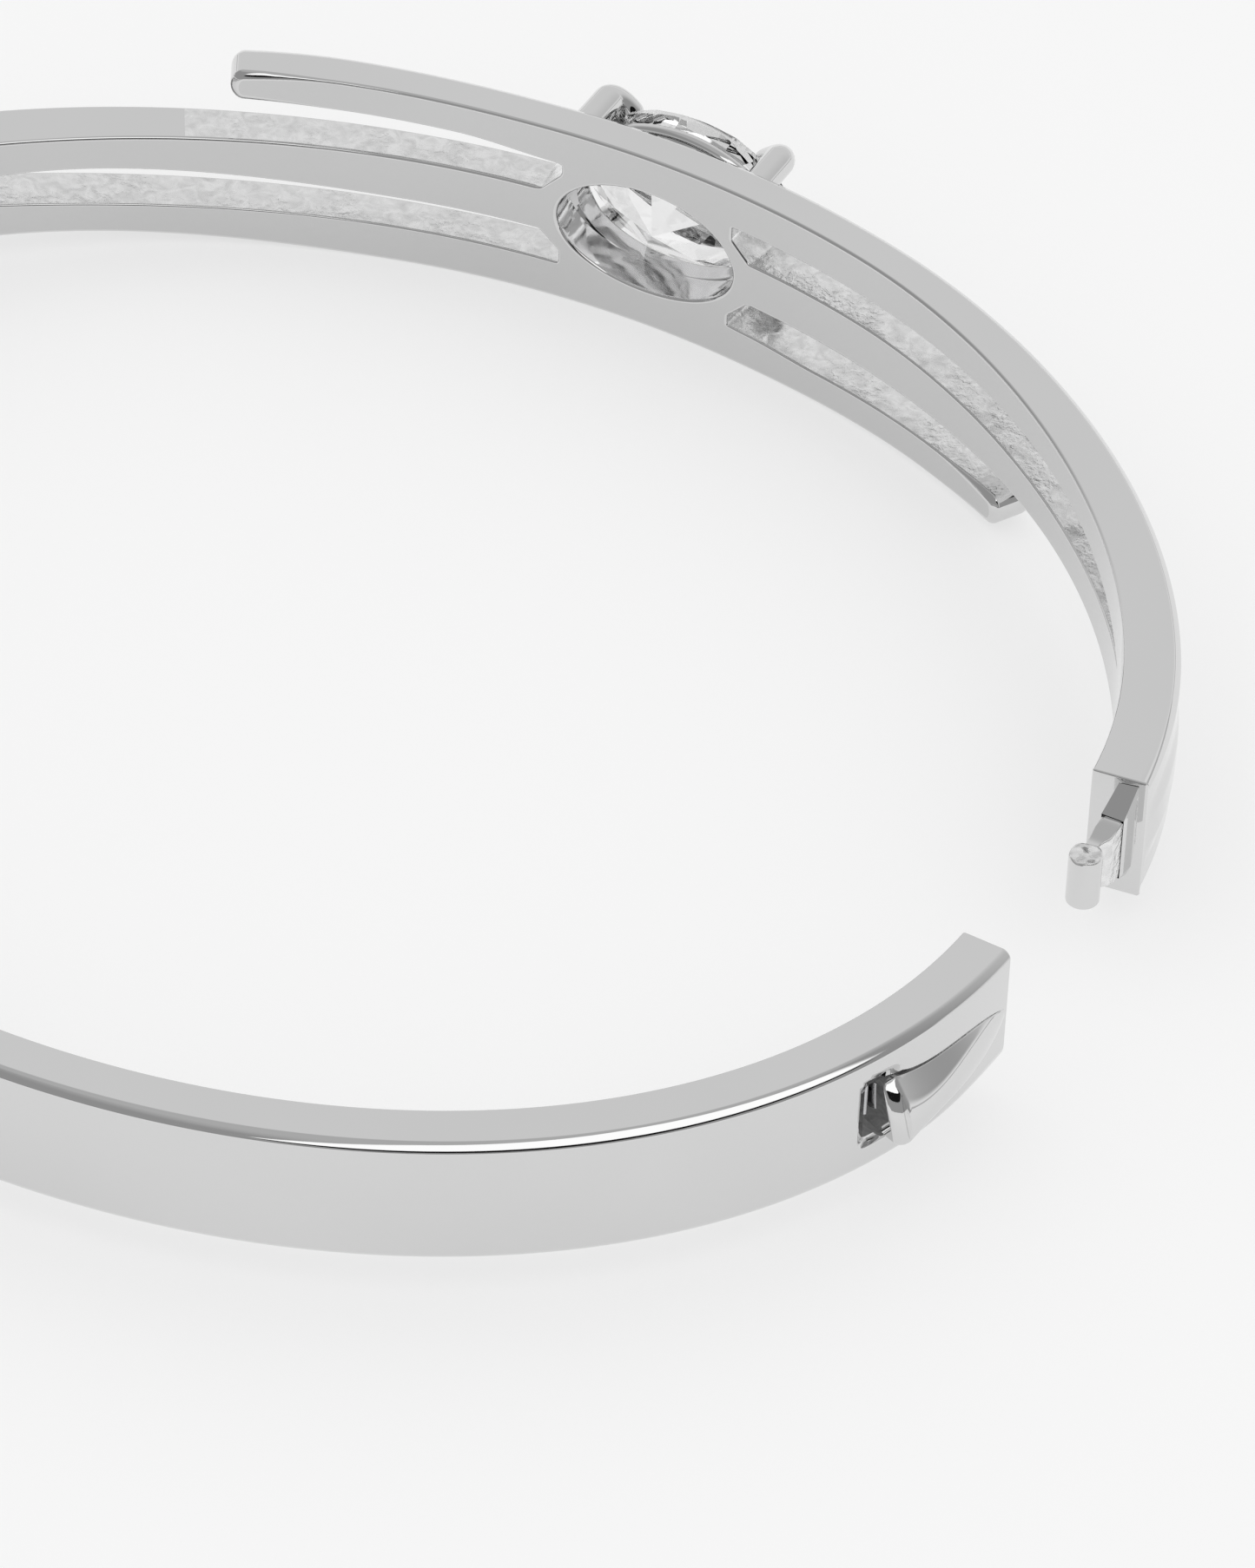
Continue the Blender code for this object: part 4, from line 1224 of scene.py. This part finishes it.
def lever_height(s, z):
    """Back of the lever: a slanting flank along its upper side runs into a full, drop-shaped crown."""
    u = lever_along(s)
    half = lever_half(float(np.interp(s, LEVER_S, LEVER_Y)))
    z += LEVER_DROP * u
    low, high = LEVER_RISE
    crown = low + (high - low) * u**0.9
    across = (z + 0.5 * half) / (1.5 * half)
    body = crown * (1 - 0.6 * across * across)
    flank = 0.02 + 0.9 * max(half - z, 0.0)
    k = 0.04 + 0.14 * u
    h = max(k - abs(body - flank), 0.0) / k
    return BACK_THICKNESS + min(body, flank) - h * h * k / 4


LEVER_Y = steps_between(LEVER_ROOT_Y, LEVER_FREE_Y, 40)
LEVER_S = [length_at_y(y) for y in LEVER_Y]


def build_lever():
    loop = []
    for y, z in lever_outline():
        s = length_at_y(y)
        u = lever_along(s)
        lower = smooth(0.5 - z)
        at_end = smooth((s - length_at_y(LEVER_FREE_Y + 0.45)) / 0.4)
        radius = 0.03 + 0.42 * u * lower
        loop.append((s, z, radius + (0.4 - radius) * at_end, 0.05, 0))

    def heel(s, z):
        return 1.9 - 1.16 * smooth((s - length_at_y(-1.2)) / 1.4) * (1 - smooth((abs(z) - 1.2) / 0.15))

    mesh = rounded_solid("lever_shell", [loop], lever_height, heel, OVAL.wrap, grid=(0.12, 0.10), segments=6)
    piece("lever_shell", mesh, "lever", ["catch_lever"], [SILVER])


def build_spring():
    path = []
    for u in steps_between(0, 1, 24):
        y = BOX_END_Y + 0.12 + 1.5 * u
        path.append((wall_x(y, BOX_INNER + 0.03 + 1.05 * math.sin(2 * math.pi * min(u, 0.5))), y))
    strip = path + [(x + 0.1, y) for x, y in reversed(path)]
    loop = [(x, y, 0.03, 0.03, 0) for x, y in strip]
    mesh = slab("leaf_spring", [loop], -0.7, 0.7, segments=2)
    piece("leaf_spring", mesh, "back_half", ["catch_spring"], [STEEL])


build_front_frame()
build_stone()
build_collar()
build_rail()
build_prongs()
build_tongue()
build_shoulder()
build_hook()
build_hinge()
build_back_band()
build_lever()
build_spring()
frame["nodes"]["lever_pin"].data.materials.clear()
frame["nodes"]["lever_pin"].data.materials.append(STEEL)


# ---- stage, light and camera


def stage_and_light():
    """A pale floor that gives off a little light, which keeps the shadows on it soft."""
    bpy.ops.mesh.primitive_plane_add(size=6, location=(0, 0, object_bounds()[0][2]))
    floor = bpy.context.object
    floor.name = "floor"
    made, tree, shader = principled("pale_floor", (0.36, 0.36, 0.36), 0.75, 0.0)
    vary(tree, shader, "Base Color", noise(tree, 3, 2), (0.3, 0.357), (0.7, 0.363))
    glow(shader, FLOOR_GLOW)
    shader.inputs["Specular IOR Level"].default_value = 0.2
    floor.data.materials.append(made)


def studio_world():
    """A pale studio. A mirror sees a bright sweep round the horizon, a grey ceiling that is darkest above
    the near side, and there half way up a lamp with a dark gap. All else is lit by plain daylight.
    """
    world = bpy.data.worlds.new("studio")
    bpy.context.scene.world = world
    world.use_nodes = True
    world.cycles.sampling_method = "NONE"
    tree = world.node_tree
    background = tree.nodes["Background"]
    direction = node_of(tree, "ShaderNodeTexCoord", {}, "Generated")
    split = tree.nodes.new("ShaderNodeSeparateXYZ")
    tree.links.new(direction, split.inputs[0])

    def sum_of(one, share, two):
        return node_of(tree, "ShaderNodeMath", {0: one, 1: share, 2: two}, operation="MULTIPLY_ADD")

    def both(one, two):
        return node_of(tree, "ShaderNodeMath", {0: one, 1: two}, operation="MULTIPLY")

    def band(value, start, end, low, high):
        inputs = {"Value": value, "From Min": start, "From Max": end, "To Min": low, "To Max": high}
        return node_of(tree, "ShaderNodeMapRange", inputs, "Result", interpolation_type="SMOOTHSTEP")

    def blend(share, one, two):
        inputs = {"Factor": share, "A": one, "B": two}
        return node_of(tree, "ShaderNodeMix", inputs, "Result", data_type="FLOAT")

    x, y, z = split.outputs["X"], split.outputs["Y"], split.outputs["Z"]
    aside = sum_of(x, 0.898, sum_of(y, 0.44, LAMP_ASIDE))
    towards = sum_of(x, 0.44, sum_of(y, -0.898, 0.0))
    near_side = band(towards, 0.05, 0.12, 0.0, 1.0)

    def ellipse(height, half_height, half_width):
        """Inside of a flat oval patch of the near side, with a crisp rim."""
        up = sum_of(z, 1 / half_height, -height / half_height)
        over = sum_of(aside, 1 / half_width, 0.0)
        square = sum_of(both(up, up), 1.0, both(over, over))
        return both(near_side, band(square, 0.97, 1.03, 1.0, 0.0))

    ceiling = band(sum_of(x, -0.35, y), 0.0, 0.75, SKY_DARK, SKY_LIGHT)
    overhead = blend(band(z, 0.78, 0.92, 0.0, 1.0), ceiling, ZENITH)
    sweep = blend(band(z, 0.10, 0.24, 1.0, 0.0), overhead, HORIZON)
    sweep = blend(band(z, 0.045, 0.07, 1.0, 0.0), sweep, SWEEP_FOOT)
    low_front = blend(both(near_side, band(z, 0.24, 0.34, 1.0, 0.0)), sweep, SKY_DARK)
    lit = blend(both(ellipse(*LAMP), band(z, *LAMP_FOOT, 0.0, 1.0)), low_front, LAMP_LEVEL)
    seen = blend(ellipse(*GAP), lit, GAP_LEVEL)
    mirrored = node_of(tree, "ShaderNodeLightPath", {}, "Is Glossy Ray")
    mixed = blend(mirrored, DAYLIGHT, seen)
    background.inputs["Color"].default_value = (1, 1, 1, 1)
    tree.links.new(mixed, background.inputs["Strength"])


def camera():
    azimuth, elevation, roll = (math.radians(a) for a in (CAMERA_AZIMUTH, CAMERA_ELEVATION, CAMERA_ROLL))
    flat = math.cos(elevation)
    back = Vector((flat * math.sin(azimuth), -flat * math.cos(azimuth), math.sin(elevation)))
    right = (-back).cross(Vector((0, 0, 1))).normalized()
    up = right.cross(-back)
    rolled_right = right * math.cos(roll) + up * math.sin(roll)
    rolled_up = -right * math.sin(roll) + up * math.cos(roll)
    made = bpy.data.cameras.new("camera")
    made.sensor_fit = "HORIZONTAL"
    made.sensor_width = SENSOR_WIDTH
    made.lens = LENS
    made.clip_start = 0.01
    made.clip_end = 10
    holder = in_scene("camera", made)
    turn = Matrix((rolled_right, rolled_up, back)).transposed().to_4x4()
    holder.matrix_world = Matrix.Translation(CENTRE + Vector(CAMERA_PLACE) * MM) @ turn
    bpy.context.scene.camera = holder


bpy.context.scene.view_settings.view_transform = "Standard"
stage_and_light()
studio_world()
camera()
